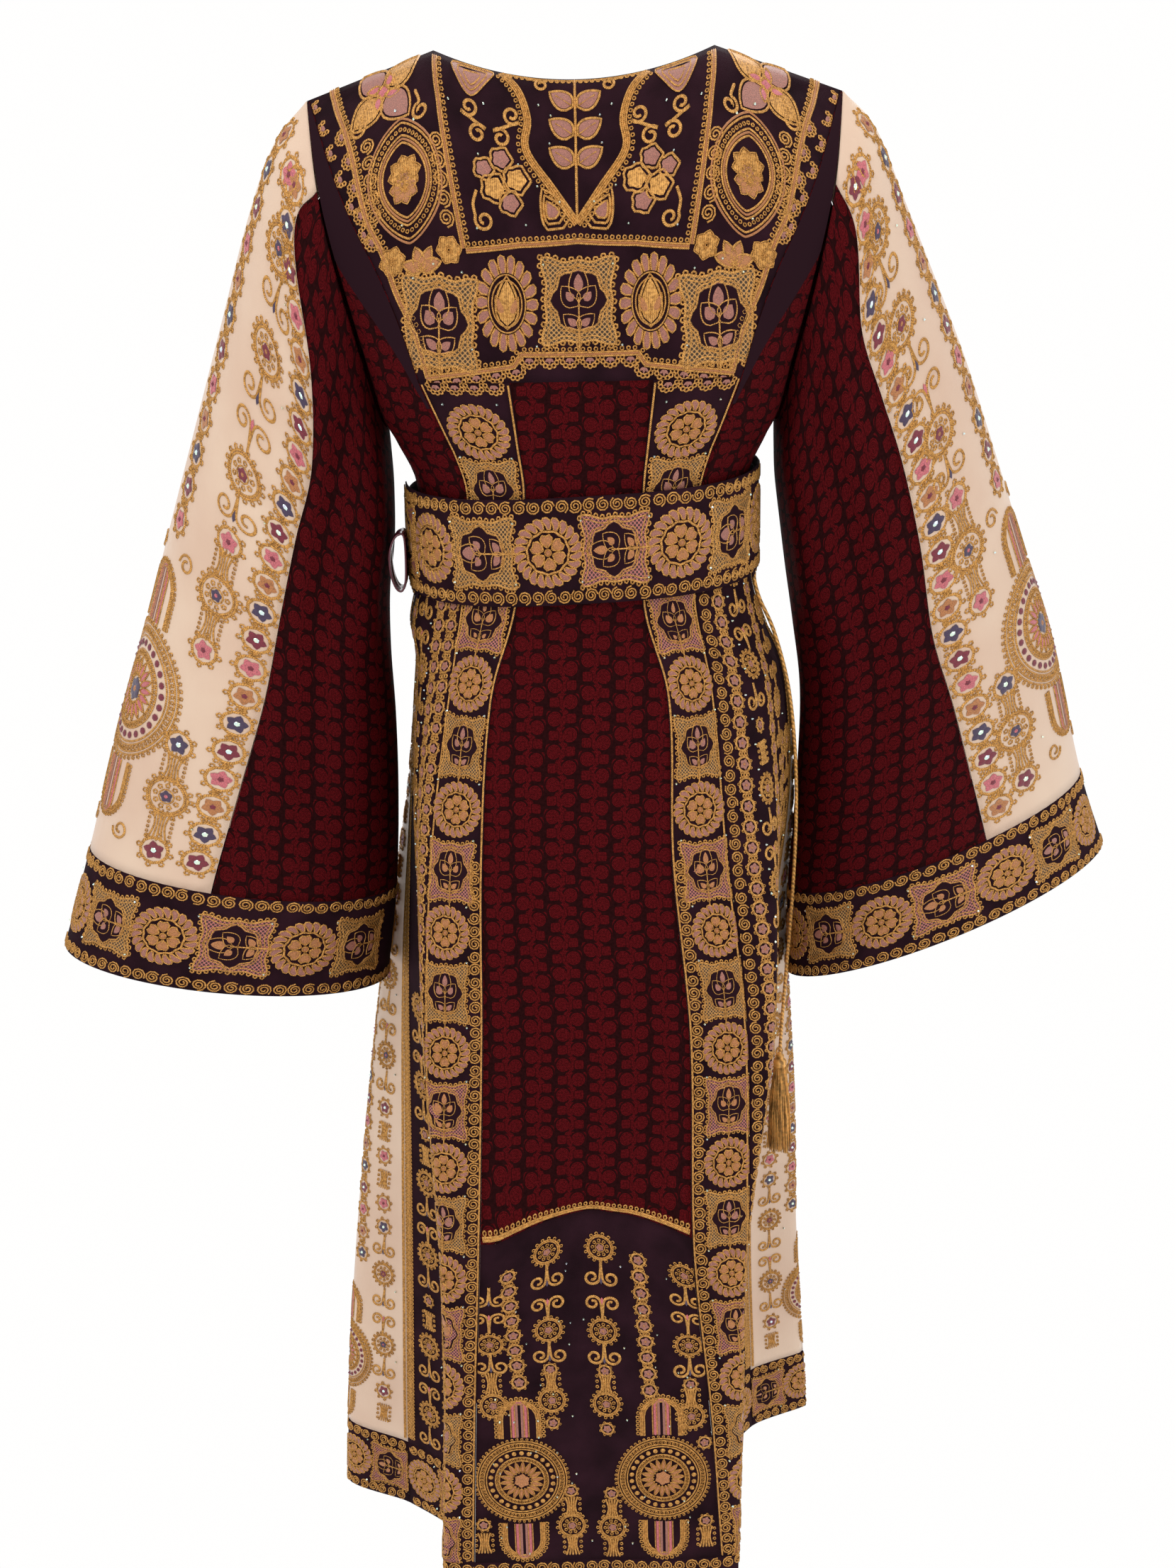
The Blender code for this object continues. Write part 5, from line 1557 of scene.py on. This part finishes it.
def sewYokeSide(work, hand):
    def turned(angle):
        return angle if hand > 0 else math.pi - angle
    corner = yokeWork["square"]
    for part in (corner[:3], corner[2:]):
        line = straightLine(both(part, hand), 0.006)
        work.cords(line, hand * 0.0015)
        work.loops(shifted(line, -hand * 0.0006), -hand)
    vee = softLine(both(yokeWork["vee"], hand), step=0.005)
    work.cords(vee, 0.0016, ("gold",) * 4, -1.5)
    work.loops(shifted(vee, hand * 0.0032), hand)
    for y in yokeWork["leaves"]:
        addLeaf(work, hand * 0.0030, y - 0.007, 0.0195, 0.0064, turned(0.55), "mauve", 0.0022, True)
    for x, y, r, thread in ((0.0600, -0.0755, 0.0088, "mauve"), (0.0735, -0.0845, 0.0080, "mauve"),
                            (0.0475, -0.0895, 0.0105, "gold"), (0.0650, -0.0975, 0.0105, "gold"),
                            (0.0520, -0.1070, 0.0088, "mauve")):
        petal, edge = ([polar(r * share * (1 + 0.12 * math.cos(5 * a)), a, hand * x, y)
                        for a in around(16)] for share in (0.72, 1.0))
        work.pad(petal, thread, 0.0012)
        work.cord(closed(edge), width=0.0021, rise=0.0013)
    addScroll(work, hand * 0.0725, -0.1215, 0.0076, math.pi / 2 - hand * 1.2, -hand,
              tail=both(((0.0790, -0.1010), (0.0815, -0.1110)), hand))
    for share in (1.0, 0.70, 0.42):
        heart = leafLine(hand * (0.0110 + 0.010 * (1 - share)), -0.1230 + 0.0125 * (1 - share),
                         0.0330 * share, 0.0120 * share, turned(1.05), 7, -0.25)
        if share < 0.5:
            work.pad(heart, "mauve", 0.0011)
        work.cord(closed(heart), width=0.0021, rise=0.0012)
    for x in (0.0830, 0.0560):
        addDoubleScroll(work, hand * x, -0.0500, 0.0076, hand if x > 0.07 else -hand)
    for share in (1.0, 0.7, 0.4):
        tri = [(hand * (0.0860 + u * share), -0.0175 + v * share)
               for u, v in ((0.0190, 0.0105), (0.0010, 0.0125), (-0.0170, 0.0105), (-0.0120, -0.001),
                            (0.0, -0.0145), (0.0130, -0.002))]
        tri = softLine(tri if hand < 0 else tri[::-1], True, 0.004)
        if share == 1.0:
            work.pad(tri[:-1], "mauve", 0.0010)
        work.cord(tri, width=0.0013, lift=0.0004)
    flower = (hand * 0.161, -0.026)
    for n in range(4):
        angle = turned(math.pi / 4 + n * math.pi / 2)
        foot = polar(0.005, angle, *flower)
        addLeaf(work, *foot, 0.0275, 0.0100, angle, "gold" if n % 2 else "mauve")
        addLeaf(work, *foot, 0.0105, 0.0026, angle + math.pi / 4, "rose")
    work.dot(*flower, 0.0048, "rose", 0.0016, 10)
    work.circle(*flower, 0.0050, 12, lift=0.0006)
    addPointedMedallion(work, hand * 0.1365, -0.0965, hand * 0.13)
    for key in ("outerSpirals", "innerSpirals"):
        for x, y, angle in stations(both(yokeWork[key], hand), 0.0128):
            work.place("spiral", x, y, angle, 1.15)
    for x, way in ((0.1800, 1), (0.1265, -1)):
        addScroll(work, hand * x, -0.0500, 0.0070, math.pi / 2 + hand * way * 0.3, hand * way,
                  tail=((hand * (x - way * 0.006), -0.0340),))
    for x, y, r in ((0.1450, -0.152, 0.0100), (0.1000, -0.146, 0.0095)):
        addFlower(work, hand * x, y, r, 6, "gold", 0.2, True, 0.44)
    for lean in (0.35, 1.25, 2.05, 2.80):
        addLeaf(work, hand * 0.1215, -0.160, 0.0150, 0.0038, turned(lean), "copper")
    border = softLine(both(yokeWork["border"], hand), step=0.005)
    work.cords(border, -hand * 0.0016)
    work.loops(shifted(border, -hand * 0.0036), -hand)
    scallops(work, softLine(both(yokeWork["edge"], hand), step=0.005), hand, 0.0235, 0.0052)
    scallops(work, softLine(both(yokeWork["border"][1:5], hand), step=0.005), hand, 0.0235, 0.0058)
    foot = straightLine(both(yokeWork["foot"], hand), 0.005)
    work.cords(foot, hand * 0.0014)
    work.loops(shifted(foot, -hand * 0.0005), -hand)
    scallops(work, shifted(foot, hand * 0.0040), hand, 0.0150)
    for x, y in ((0.020, -0.038), (0.021, -0.060), (0.030, -0.030), (0.075, -0.036), (0.046, -0.078),
                 (0.078, -0.075), (0.031, -0.093), (0.078, -0.128), (0.040, -0.122), (0.104, -0.040),
                 (0.148, -0.045), (0.131, -0.056), (0.137, -0.128), (0.112, -0.157), (0.090, -0.160),
                 (0.027, -0.150), (0.083, -0.213), (0.033, -0.210), (0.128, -0.165), (0.0135, -0.104)):
        work.place("crystal", hand * x, y)


def sewYoke():
    work = Stitching()
    work.cord(straightLine([(0, -0.004), (0, -0.118)], 0.005), width=0.0022, rise=0.0012)
    for hand in (1, -1):
        sewYokeSide(work, hand)
        work.place("goldSquare", hand * 0.1085, -0.1960, hand * 0.03, *squareSize(0.0620, 0.0690))
        addPetalOval(work, hand * 0.0555, -0.1795)
    work.place("goldSquare", 0, -0.1770, 0, *squareSize(0.0600, 0.0680))
    top = softLine([(-0.062, -0.0035), (-0.030, -0.0045), (0, -0.0045), (0.030, -0.0045), (0.062, -0.0035)])
    work.cord(top)
    work.loops(top, -1)
    for hand in (1, -1):
        addScroll(work, hand * 0.028, -0.0115, 0.0058, math.pi / 2, -hand, ((hand * 0.040, -0.006),))
    work.finish("yoke_stitching", panels["back_yoke"])


sleeveStrand = (("linkRose", -0.030), ("discNavy", -0.0720), ("scroll", -0.1080), ("discCrimson", -0.1510),
                ("scroll", -0.1900), ("scroll", -0.2210), ("discCrimson", -0.2630), ("scroll", -0.2990),
                ("linkRose", -0.3270), ("bunch", -0.3500), ("discNavy", -0.3790), ("bunch", -0.4070),
                ("linkRose", -0.4320), ("linkNavy", -0.5250), ("bunch", -0.5480), ("discNavy", -0.5760),
                ("bunch", -0.6040), ("linkCrimson", -0.6290))
sleeveWork = {"strandX": 0.108, "foldX": 0.044, "seamInset": 0.0145, "medallion": (0.040, -0.500),
              "frontStrandX": -0.092}


# The ivory strip of a sleeve: a chain by each seam, one down the fold, two strands, a medallion.
def sewSleeve(side):
    panel = panels["sleeve_top_" + side]
    work = Stitching()
    hand = 1 if side == "l" else -1
    kit = sleeveWork
    depths = panel.depths(0.012, 0.026, 40)
    for way in (1, -1):
        line = [(way * panel.edge(y, kit["seamInset"]), y) for y in depths]
        addChain(work, line, way + 1, size=1.22)

    def strandAt(y, shift):
        return hand * shift * min(1.0, panel.widthAt(y) / 2 / 0.150)
    fold = [(strandAt(y, kit["foldX"]), y) for y in depths if y > -0.372]
    addChain(work, fold, 2, size=1.22)
    for shift in (kit["strandX"], kit["frontStrandX"]):
        addStrand(work, lambda y, shift=shift: strandAt(y, shift), sleeveStrand, 1.28)
    x, y = hand * kit["medallion"][0], kit["medallion"][1]
    addArched(work, "medallionIvory", x, y, 0.2, 1.26, ((0.063, 0.050, 0.0075, 0.0220),) * 2)
    for way in (1, -1):
        addScroll(work, x + way * 0.030, y + 0.126, 0.0095, math.pi / 2 + way * 1.6, -way)
        addScroll(work, x + way * 0.030, y - 0.122, 0.0095, -math.pi / 2 - way * 1.6, way)
    work.finish("sleeve_stitching_" + side, panel)


lowerWork = {
    "strands": (
        (-0.0350, (("discPlum", -0.030), ("scroll", -0.058), ("scroll", -0.082), ("discPlum", -0.108),
                   ("scroll", -0.134), ("linkSmall", -0.148), ("bunch", -0.160), ("discPlum", -0.178),
                   ("linkSmall", -0.200))),
        (0.0120, (("discPlum", -0.034), ("scroll", -0.062), ("scroll", -0.086), ("discPlum", -0.112),
                  ("scroll", -0.137), ("linkSmall", -0.150), ("bunch", -0.163), ("discPlum", -0.182),
                  ("linkSmall", -0.206))),
        (0.0850, (("discPlum", -0.046), ("scroll", -0.073), ("scroll", -0.094), ("discPlum", -0.124),
                  ("scroll", -0.151), ("linkSmall", -0.165), ("bunch", -0.178), ("discPlum", -0.196))),
        (-0.0860, (("scroll", -0.066), ("scroll", -0.088), ("discPlum", -0.118), ("scroll", -0.144),
                   ("bunch", -0.160), ("discPlum", -0.182))),
        (-0.0215, (("linkSmall", -0.268), ("bunch", -0.284), ("discPlum", -0.303), ("bunch", -0.322))),
        (0.0140, (("linkSmall", -0.271), ("bunch", -0.287), ("discPlum", -0.306), ("bunch", -0.325))),
        (0.0960, (("linkSmall", -0.222), ("linkSmall", -0.300), ("bunch", -0.316))),
        (-0.0990, (("linkSmall", -0.300), ("bunch", -0.318)))),
    "chains": (((-0.0700, -0.034), (-0.0620, -0.168)), ((0.0445, -0.034), (0.0500, -0.178))),
    "medallions": ((-0.0640, -0.2560), (0.0590, -0.2560)),
    "crystals": 40,
}


def sewLowerBack():
    work = Stitching()
    for x, rows in lowerWork["strands"]:
        addStrand(work, lambda y, x=x: x, rows, 0.86)
    for line in lowerWork["chains"]:
        smallChain(work, line, 0.0168, 0.98)
    for x, y in lowerWork["medallions"]:
        addArched(work, "medallionPlum", x, y, 0.1, 0.84, ((0.043, 0.034, 0.0055, 0.0165),) * 2)
    for _ in range(lowerWork["crystals"]):
        work.place("crystal", dice.uniform(-0.09, 0.09), dice.uniform(-0.33, -0.05), dice.uniform(0, 1),
                   dice.uniform(0.8, 1.1))
    work.finish("lower_stitching", panels["back_lower"])


sideColumns = {"spiral": 0.0075, "chain": 0.0225, "strand": 0.0480, "chain2": 0.0740, "strand2": 0.1010,
               "chain3": 0.1280}
sideStrand = ("discPlum", "scroll", "scroll", "discPlum", "scroll", "linkSmall", "bunch")
strandSteps = {"discPlum": (0.016, 0.018), "scroll": (0.012, 0.010), "linkSmall": (0.010, 0.010),
               "bunch": (0.012, 0.013)}


def strandRows(start, end, order):
    rows, y, n = [], start, 0
    while y > end:
        kind = order[n % len(order)]
        y -= strandSteps[kind][0]
        rows.append((kind, y))
        y -= strandSteps[kind][1]
        n += 1
    return rows


# A plum side panel: columns of spirals, small flowers and scroll strands, counted from the band.
def sewSide(side):
    panel = panels["side_panel_" + side]
    work = Stitching()
    hand = 1 if side == "r" else -1

    def fromBand(y, far):
        return hand * (far - panel.widthAt(y) / 2)
    depths = panel.depths(0.006, 0.012, 90)

    def columnAt(far, spare=0.014):
        return [(fromBand(y, far), y) for y in depths if panel.widthAt(y) - far > spare]
    if side == "r":
        work.spirals(columnAt(sideColumns["spiral"]))
    else:
        smallChain(work, columnAt(sideColumns["spiral"]), 0.0165, 0.86)
    seamward = [(hand * panel.edge(y, 0.0570), y) for y in depths if panel.widthAt(y) > 0.172]
    if seamward:
        smallChain(work, seamward)
        addStrand(work, lambda y: hand * panel.edge(y, 0.0310),
                  strandRows(seamward[0][1], -panel.length + 0.02, sideStrand), 0.86)
    for key in ("chain", "chain2", "chain3"):
        line = columnAt(sideColumns[key])
        line = [spot for spot in line if key != "chain3" or panel.widthAt(spot[1]) > 0.215]
        if len(line) > 4:
            smallChain(work, line)
    for key, start in (("strand", -0.012), ("strand2", -0.030)):
        line = columnAt(sideColumns[key], 0.022)
        if len(line) > 4:
            low = line[-1][1]
            rows = strandRows(min(start, line[0][1]), max(low, -panel.length + 0.02), sideStrand)
            addStrand(work, lambda y, key=key: fromBand(y, sideColumns[key]), rows, 0.80)
    edge = [(hand * panel.edge(y, 0.0052), y) for y in depths]
    addBraid(work, edge, 2, (1, -1), 0.0018)
    for y in depths[::2]:
        work.place("crystal", fromBand(y, 0.0345 + dice.uniform(-0.003, 0.003)), y)
    work.finish("side_stitching_" + side, panel)


frontStrand = ("linkRose", "linkNavy", "scroll", "discCrimson", "scroll", "scroll", "discNavy", "scroll",
               "linkCrimson", "bunch", "linkRose", "bunch")
strandSteps.update({"linkRose": (0.013, 0.013), "linkNavy": (0.013, 0.013), "linkCrimson": (0.013, 0.013),
                    "discCrimson": (0.017, 0.019), "discNavy": (0.017, 0.019)})


# An ivory front panel: a braid by the side seam, a strand, a chain and a low medallion. The photo
# shows only this outer part, so the middle of the front stays plain but for its seam.
def sewFront(side):
    panel = panels["front_panel_" + side]
    work = Stitching()
    hand = 1 if side == "l" else -1

    def fromSeam(y, far):
        return hand * panel.edge(y, far)
    depths = panel.depths(0.006, 0.010, 90)
    addBraid(work, [(fromSeam(y, 0.0030), y) for y in depths], 2, (), 0.0018)
    rows = strandRows(-0.02, -0.895, frontStrand)
    addStrand(work, lambda y: fromSeam(y, 0.0290), rows, 0.84)
    addChain(work, [(fromSeam(y, 0.0580), y) for y in depths if y > -0.745], 1, 0.0240, 0.82)
    addChain(work, [(-hand * panel.edge(y, 0.011), y) for y in depths], 2, 0.0285, 0.9)
    addArched(work, "medallionIvory", fromSeam(-0.845, 0.0820), -0.845, 0.4, 0.80,
              ((0.041, 0.034, 0.0055, 0.0160), (0.041, 0.030, 0.0055, 0.0150)))
    work.finish("front_stitching_" + side, panel)


# Gold scallops along the arch, where the maroon back meets the lower panel.
def sewArchEdge():
    panel = panels["back_center"]
    work = Stitching()
    y = -panel.length + 0.0022
    half = panel.widthAt(y) / 2 - 0.002
    line = straightLine([(-half, y), (half, y)], 0.005)
    work.cords(line, 0.0016, ("gold", "gold"), width=0.0017)
    work.loops(shifted(line, 0.0022))
    work.finish("arch_stitching", panel)


# A dark plum sheet between the yoke and the maroon at each armhole: painted shade, laid where the maroon
# falls into the shadow of the fold by the sleeve.
def sewShadeWedge(side):
    panel = panels["bodice_side_" + side]
    work = Stitching()
    hand = 1 if side == "l" else -1

    def shape(u, v):
        y = -0.004 - (0.5 - v / 2) * 0.262
        half = panel.widthAt(y) / 2
        wide = min(half * 2 - 0.001, 0.040 * (1 - smooth((-y - 0.120) / 0.150)) + 0.003)
        return hand * (half - 0.0004 - wide * (0.5 - u / 2)), y
    # Painted shade: this plum ground stands for the maroon's shadow by the armhole fold, not for a cloth of
    # its own.
    work.ground(shape, 10, 50, "ground", 0.0001)
    work.finish("painted_shade_wedge_" + side, panel, "plum_velvet")


for side in ("l", "r"):
    sewBand(side)
sewBelt("belt_over", -0.2145, 3)
sewBelt("belt_under", -0.2250, 0)
for name in ("cuff_back_l", "cuff_front_l", "cuff_back_r", "cuff_front_r"):
    sewCuff(name)
sewYoke()
for side in ("l", "r"):
    sewSleeve(side)
sewLowerBack()
sewArchEdge()
for side in ("l", "r"):
    sewSide(side)
    sewFront(side)
    sewShadeWedge(side)
    for name in ("hem_side_" + side, "hem_front_" + side):
        sewHem(name)
sewHem("hem_back", True)
print("embroidery sewn")


def addLight(name, place, target, size, power, colour):
    data = bpy.data.lights.new(name, "AREA")
    data.shape = "SQUARE"
    data.size = size
    data.energy = power
    data.color = colour
    lamp = bpy.data.objects.new(name, data)
    lamp.location = place
    lamp.rotation_euler = (Vector(target) - Vector(place)).to_track_quat("-Z", "Y").to_euler()
    bpy.context.scene.collection.objects.link(lamp)


def makeStudio():
    for name, place, size, power, colour in (
            ("keyLight", (-1.6, -2.4, 1.6), 1.6, 20, (1.0, 0.97, 0.93)),
            ("fillLight", (2.2, -1.8, 0.4), 2.0, 10, (1.0, 0.98, 0.96)),
            ("frontLight", (0.6, 2.4, 1.4), 2.0, 24, (1.0, 0.99, 0.97)),
            ("topLight", (0.0, -0.2, 2.2), 1.6, 10, (1.0, 0.98, 0.95))):
        addLight(name, place, (0, 0, -0.6), size, power, colour)
    world = bpy.data.worlds.new("studio")
    bpy.context.scene.world = world
    world.use_nodes = True
    world.node_tree.nodes["Background"].inputs[0].default_value = (1.0, 0.995, 0.99, 1)
    world.node_tree.nodes["Background"].inputs[1].default_value = 1.0
    bpy.context.scene.view_settings.view_transform = "Standard"


makeStudio()

slots = {entry["node"]: entry["material_slot"] for entry in frame["record"]["subparts"]}
for name, panel in panels.items():
    width, length, area = measurePanel(panel)
    makeShell(panel, slots[name])
print("shells made")


# Gold cord that hangs free: its twist follows its height.
def hangingGold(name, pitch):
    gold = finishes["goldLight"]
    made = Finish(name, gold, 0.50, 0.20)
    x, y, z = made.parts(made.node("ShaderNodeTexCoord", output="Object"))
    strand = (z * (2 * math.pi / pitch) + (x + y) * 900.0).sine()
    made.colour(made.shades(made.noise(300, 2) + strand * 0.2, gold, 0.45, 1.35, 0.25, 0.7))
    made.relief(strand, 0.0004, 0.8)
    return made.material


def makeCord():
    route = [Vector(spot) for spot in cordSet["route"]]
    fine = [spot for span in spansThrough(route, 8, closed=False) for spot in span] + [route[-1]]
    data = bpy.data.curves.new("tassel_cord_line", "CURVE")
    data.dimensions = "3D"
    data.bevel_depth = cordSet["radius"]
    data.bevel_resolution = 4
    data.use_fill_caps = True
    line = data.splines.new("POLY")
    line.points.add(len(fine) - 1)
    for point, spot in zip(line.points, fine):
        point.co = (*spot, 1)
    data.materials.append(hangingGold("hangingCord", 0.004))
    piece = addPiece("tassel_cord_line", data, "gold_cord", "tassel_cord")
    return piece, sum((b - a).length for a, b in zip(fine, fine[1:]))


# The tassel: a knob, a bound neck and its strands, which grow from the head's underside. Each
# strand stands a golden angle further round than the last.
tasselSet = {"top": (0.1745, 0.0560, -0.8700), "headRadius": 0.0065, "headHeight": 0.014,
             "length": 0.088, "strands": 240, "strandRadius": 0.00045, "spread": 0.0105,
             "sides": 16, "turn": 2.39996, "neck": 0.84, "foot": 0.94, "sway": 0.0012,
             "profile": ((0.0, 0.16), (0.10, 0.42), (0.22, 0.62), (0.34, 0.55), (0.42, 0.62), (0.52, 0.90),
                         (0.70, 1.0), (0.88, 0.96), (1.0, 0.86))}


def makeTassel():
    kit = tasselSet
    top = Vector(kit["top"])
    mesh = bmesh.new()
    profile = kit["profile"]
    bmesh.ops.create_cone(mesh, cap_ends=True, segments=kit["sides"], radius1=1, radius2=1, depth=1)
    lengthwise = [e for e in mesh.edges if abs(e.verts[0].co.z - e.verts[1].co.z) > 0.5]
    bmesh.ops.subdivide_edges(mesh, edges=lengthwise, cuts=len(profile) - 2)
    for vert in mesh.verts:
        share = 0.5 - vert.co.z
        level = min(range(len(profile)), key=lambda n: abs(n / (len(profile) - 1) - share))
        drop, wide = profile[level]
        vert.co = Vector((vert.co.x * wide * kit["headRadius"], vert.co.y * wide * kit["headRadius"],
                          -drop * kit["headHeight"]))
    single = bmesh.new()
    bmesh.ops.create_cone(single, cap_ends=True, segments=3, radius1=kit["strandRadius"],
                          radius2=kit["strandRadius"], depth=1)
    bmesh.ops.subdivide_edges(single, edges=[e for e in single.edges if e.calc_length() > 0.5], cuts=4)
    strand = asMesh("strandMotif", single)
    each = len(strand.vertices)
    neck = kit["headRadius"] * kit["neck"]
    for n in range(kit["strands"]):
        mesh.from_mesh(strand)
        mesh.verts.ensure_lookup_table()
        ring = math.sqrt((n + 0.5) / kit["strands"])
        angle = n * kit["turn"]
        foot = Vector((math.cos(angle), math.sin(angle), 0)) * ring
        sway = Vector((dice.uniform(-1, 1), dice.uniform(-1, 1), 0)) * kit["sway"]
        length = kit["length"] * dice.uniform(0.93, 1.0)
        for vert in mesh.verts[-each:]:
            share = 0.5 - vert.co.z
            wide = neck + (kit["spread"] - neck) * math.sin(min(1.0, share * 1.25) * math.pi / 2)
            spot = foot * wide + sway * share * share
            vert.co = Vector((vert.co.x + spot.x, vert.co.y + spot.y,
                              -kit["headHeight"] * kit["foot"] - length * share))
    bmesh.ops.translate(mesh, verts=mesh.verts, vec=top)
    data = asMesh("tassel_strands", mesh)
    data.shade_smooth()
    data.materials.append(hangingGold("tasselGold", 0.05))
    return addPiece("tassel_strands", data, "gold_cord", "tassel")


# The satin tie: a ribbon loop beside the belt's left end.
loopSet = {"route": ((-0.1462, -0.3560), (-0.1510, -0.3530), (-0.1560, -0.3590), (-0.1590, -0.3710),
                     (-0.1580, -0.3870), (-0.1540, -0.3980), (-0.1490, -0.3990), (-0.1462, -0.3870)),
           "y": -0.036, "width": 0.024, "wall": 0.0014, "columns": 13, "length": 0.122}


def makeLoop():
    kit = loopSet
    route = [Vector((x, 0, z)) for x, z in kit["route"]]
    line = [spot for span in spansThrough(route, 8) for spot in span]
    line.append(line[0])
    mesh = bmesh.new()
    verts = bmesh.ops.create_grid(mesh, x_segments=kit["columns"], y_segments=len(line) - 1,
                                  size=0.5)["verts"]
    for vert in verts:
        across, n = vert.co.x, round((vert.co.y + 0.5) * (len(line) - 1))
        spot = line[n]
        crease = 0.0006 * math.sin(across * 9 + n * 0.21) * (1 - 4 * across * across)
        vert.co = Vector((spot.x + crease, kit["y"] + across * kit["width"], spot.z))
    bmesh.ops.remove_doubles(mesh, verts=mesh.verts, dist=0.00005)
    bmesh.ops.recalc_face_normals(mesh, faces=mesh.faces)
    data = asMesh("tie_ribbon", mesh)
    data.shade_smooth()
    satin = Finish("plumSatin", (0.085, 0.012, 0.022), 0.22, Coat_Weight=0.3, Coat_Roughness=0.2)
    satin.relief(satin.noise(90, 2), 0.0006, 0.5)
    data.materials.append(satin.material)
    piece = addPiece("tie_ribbon", data, "plum_satin", "tie_loop")
    addWall(piece, kit["wall"], 0)


tassel = makeTassel()
cord, cordLength = makeCord()
print("cord length", round(cordLength, 4))
makeLoop()

bpy.context.view_layer.update()
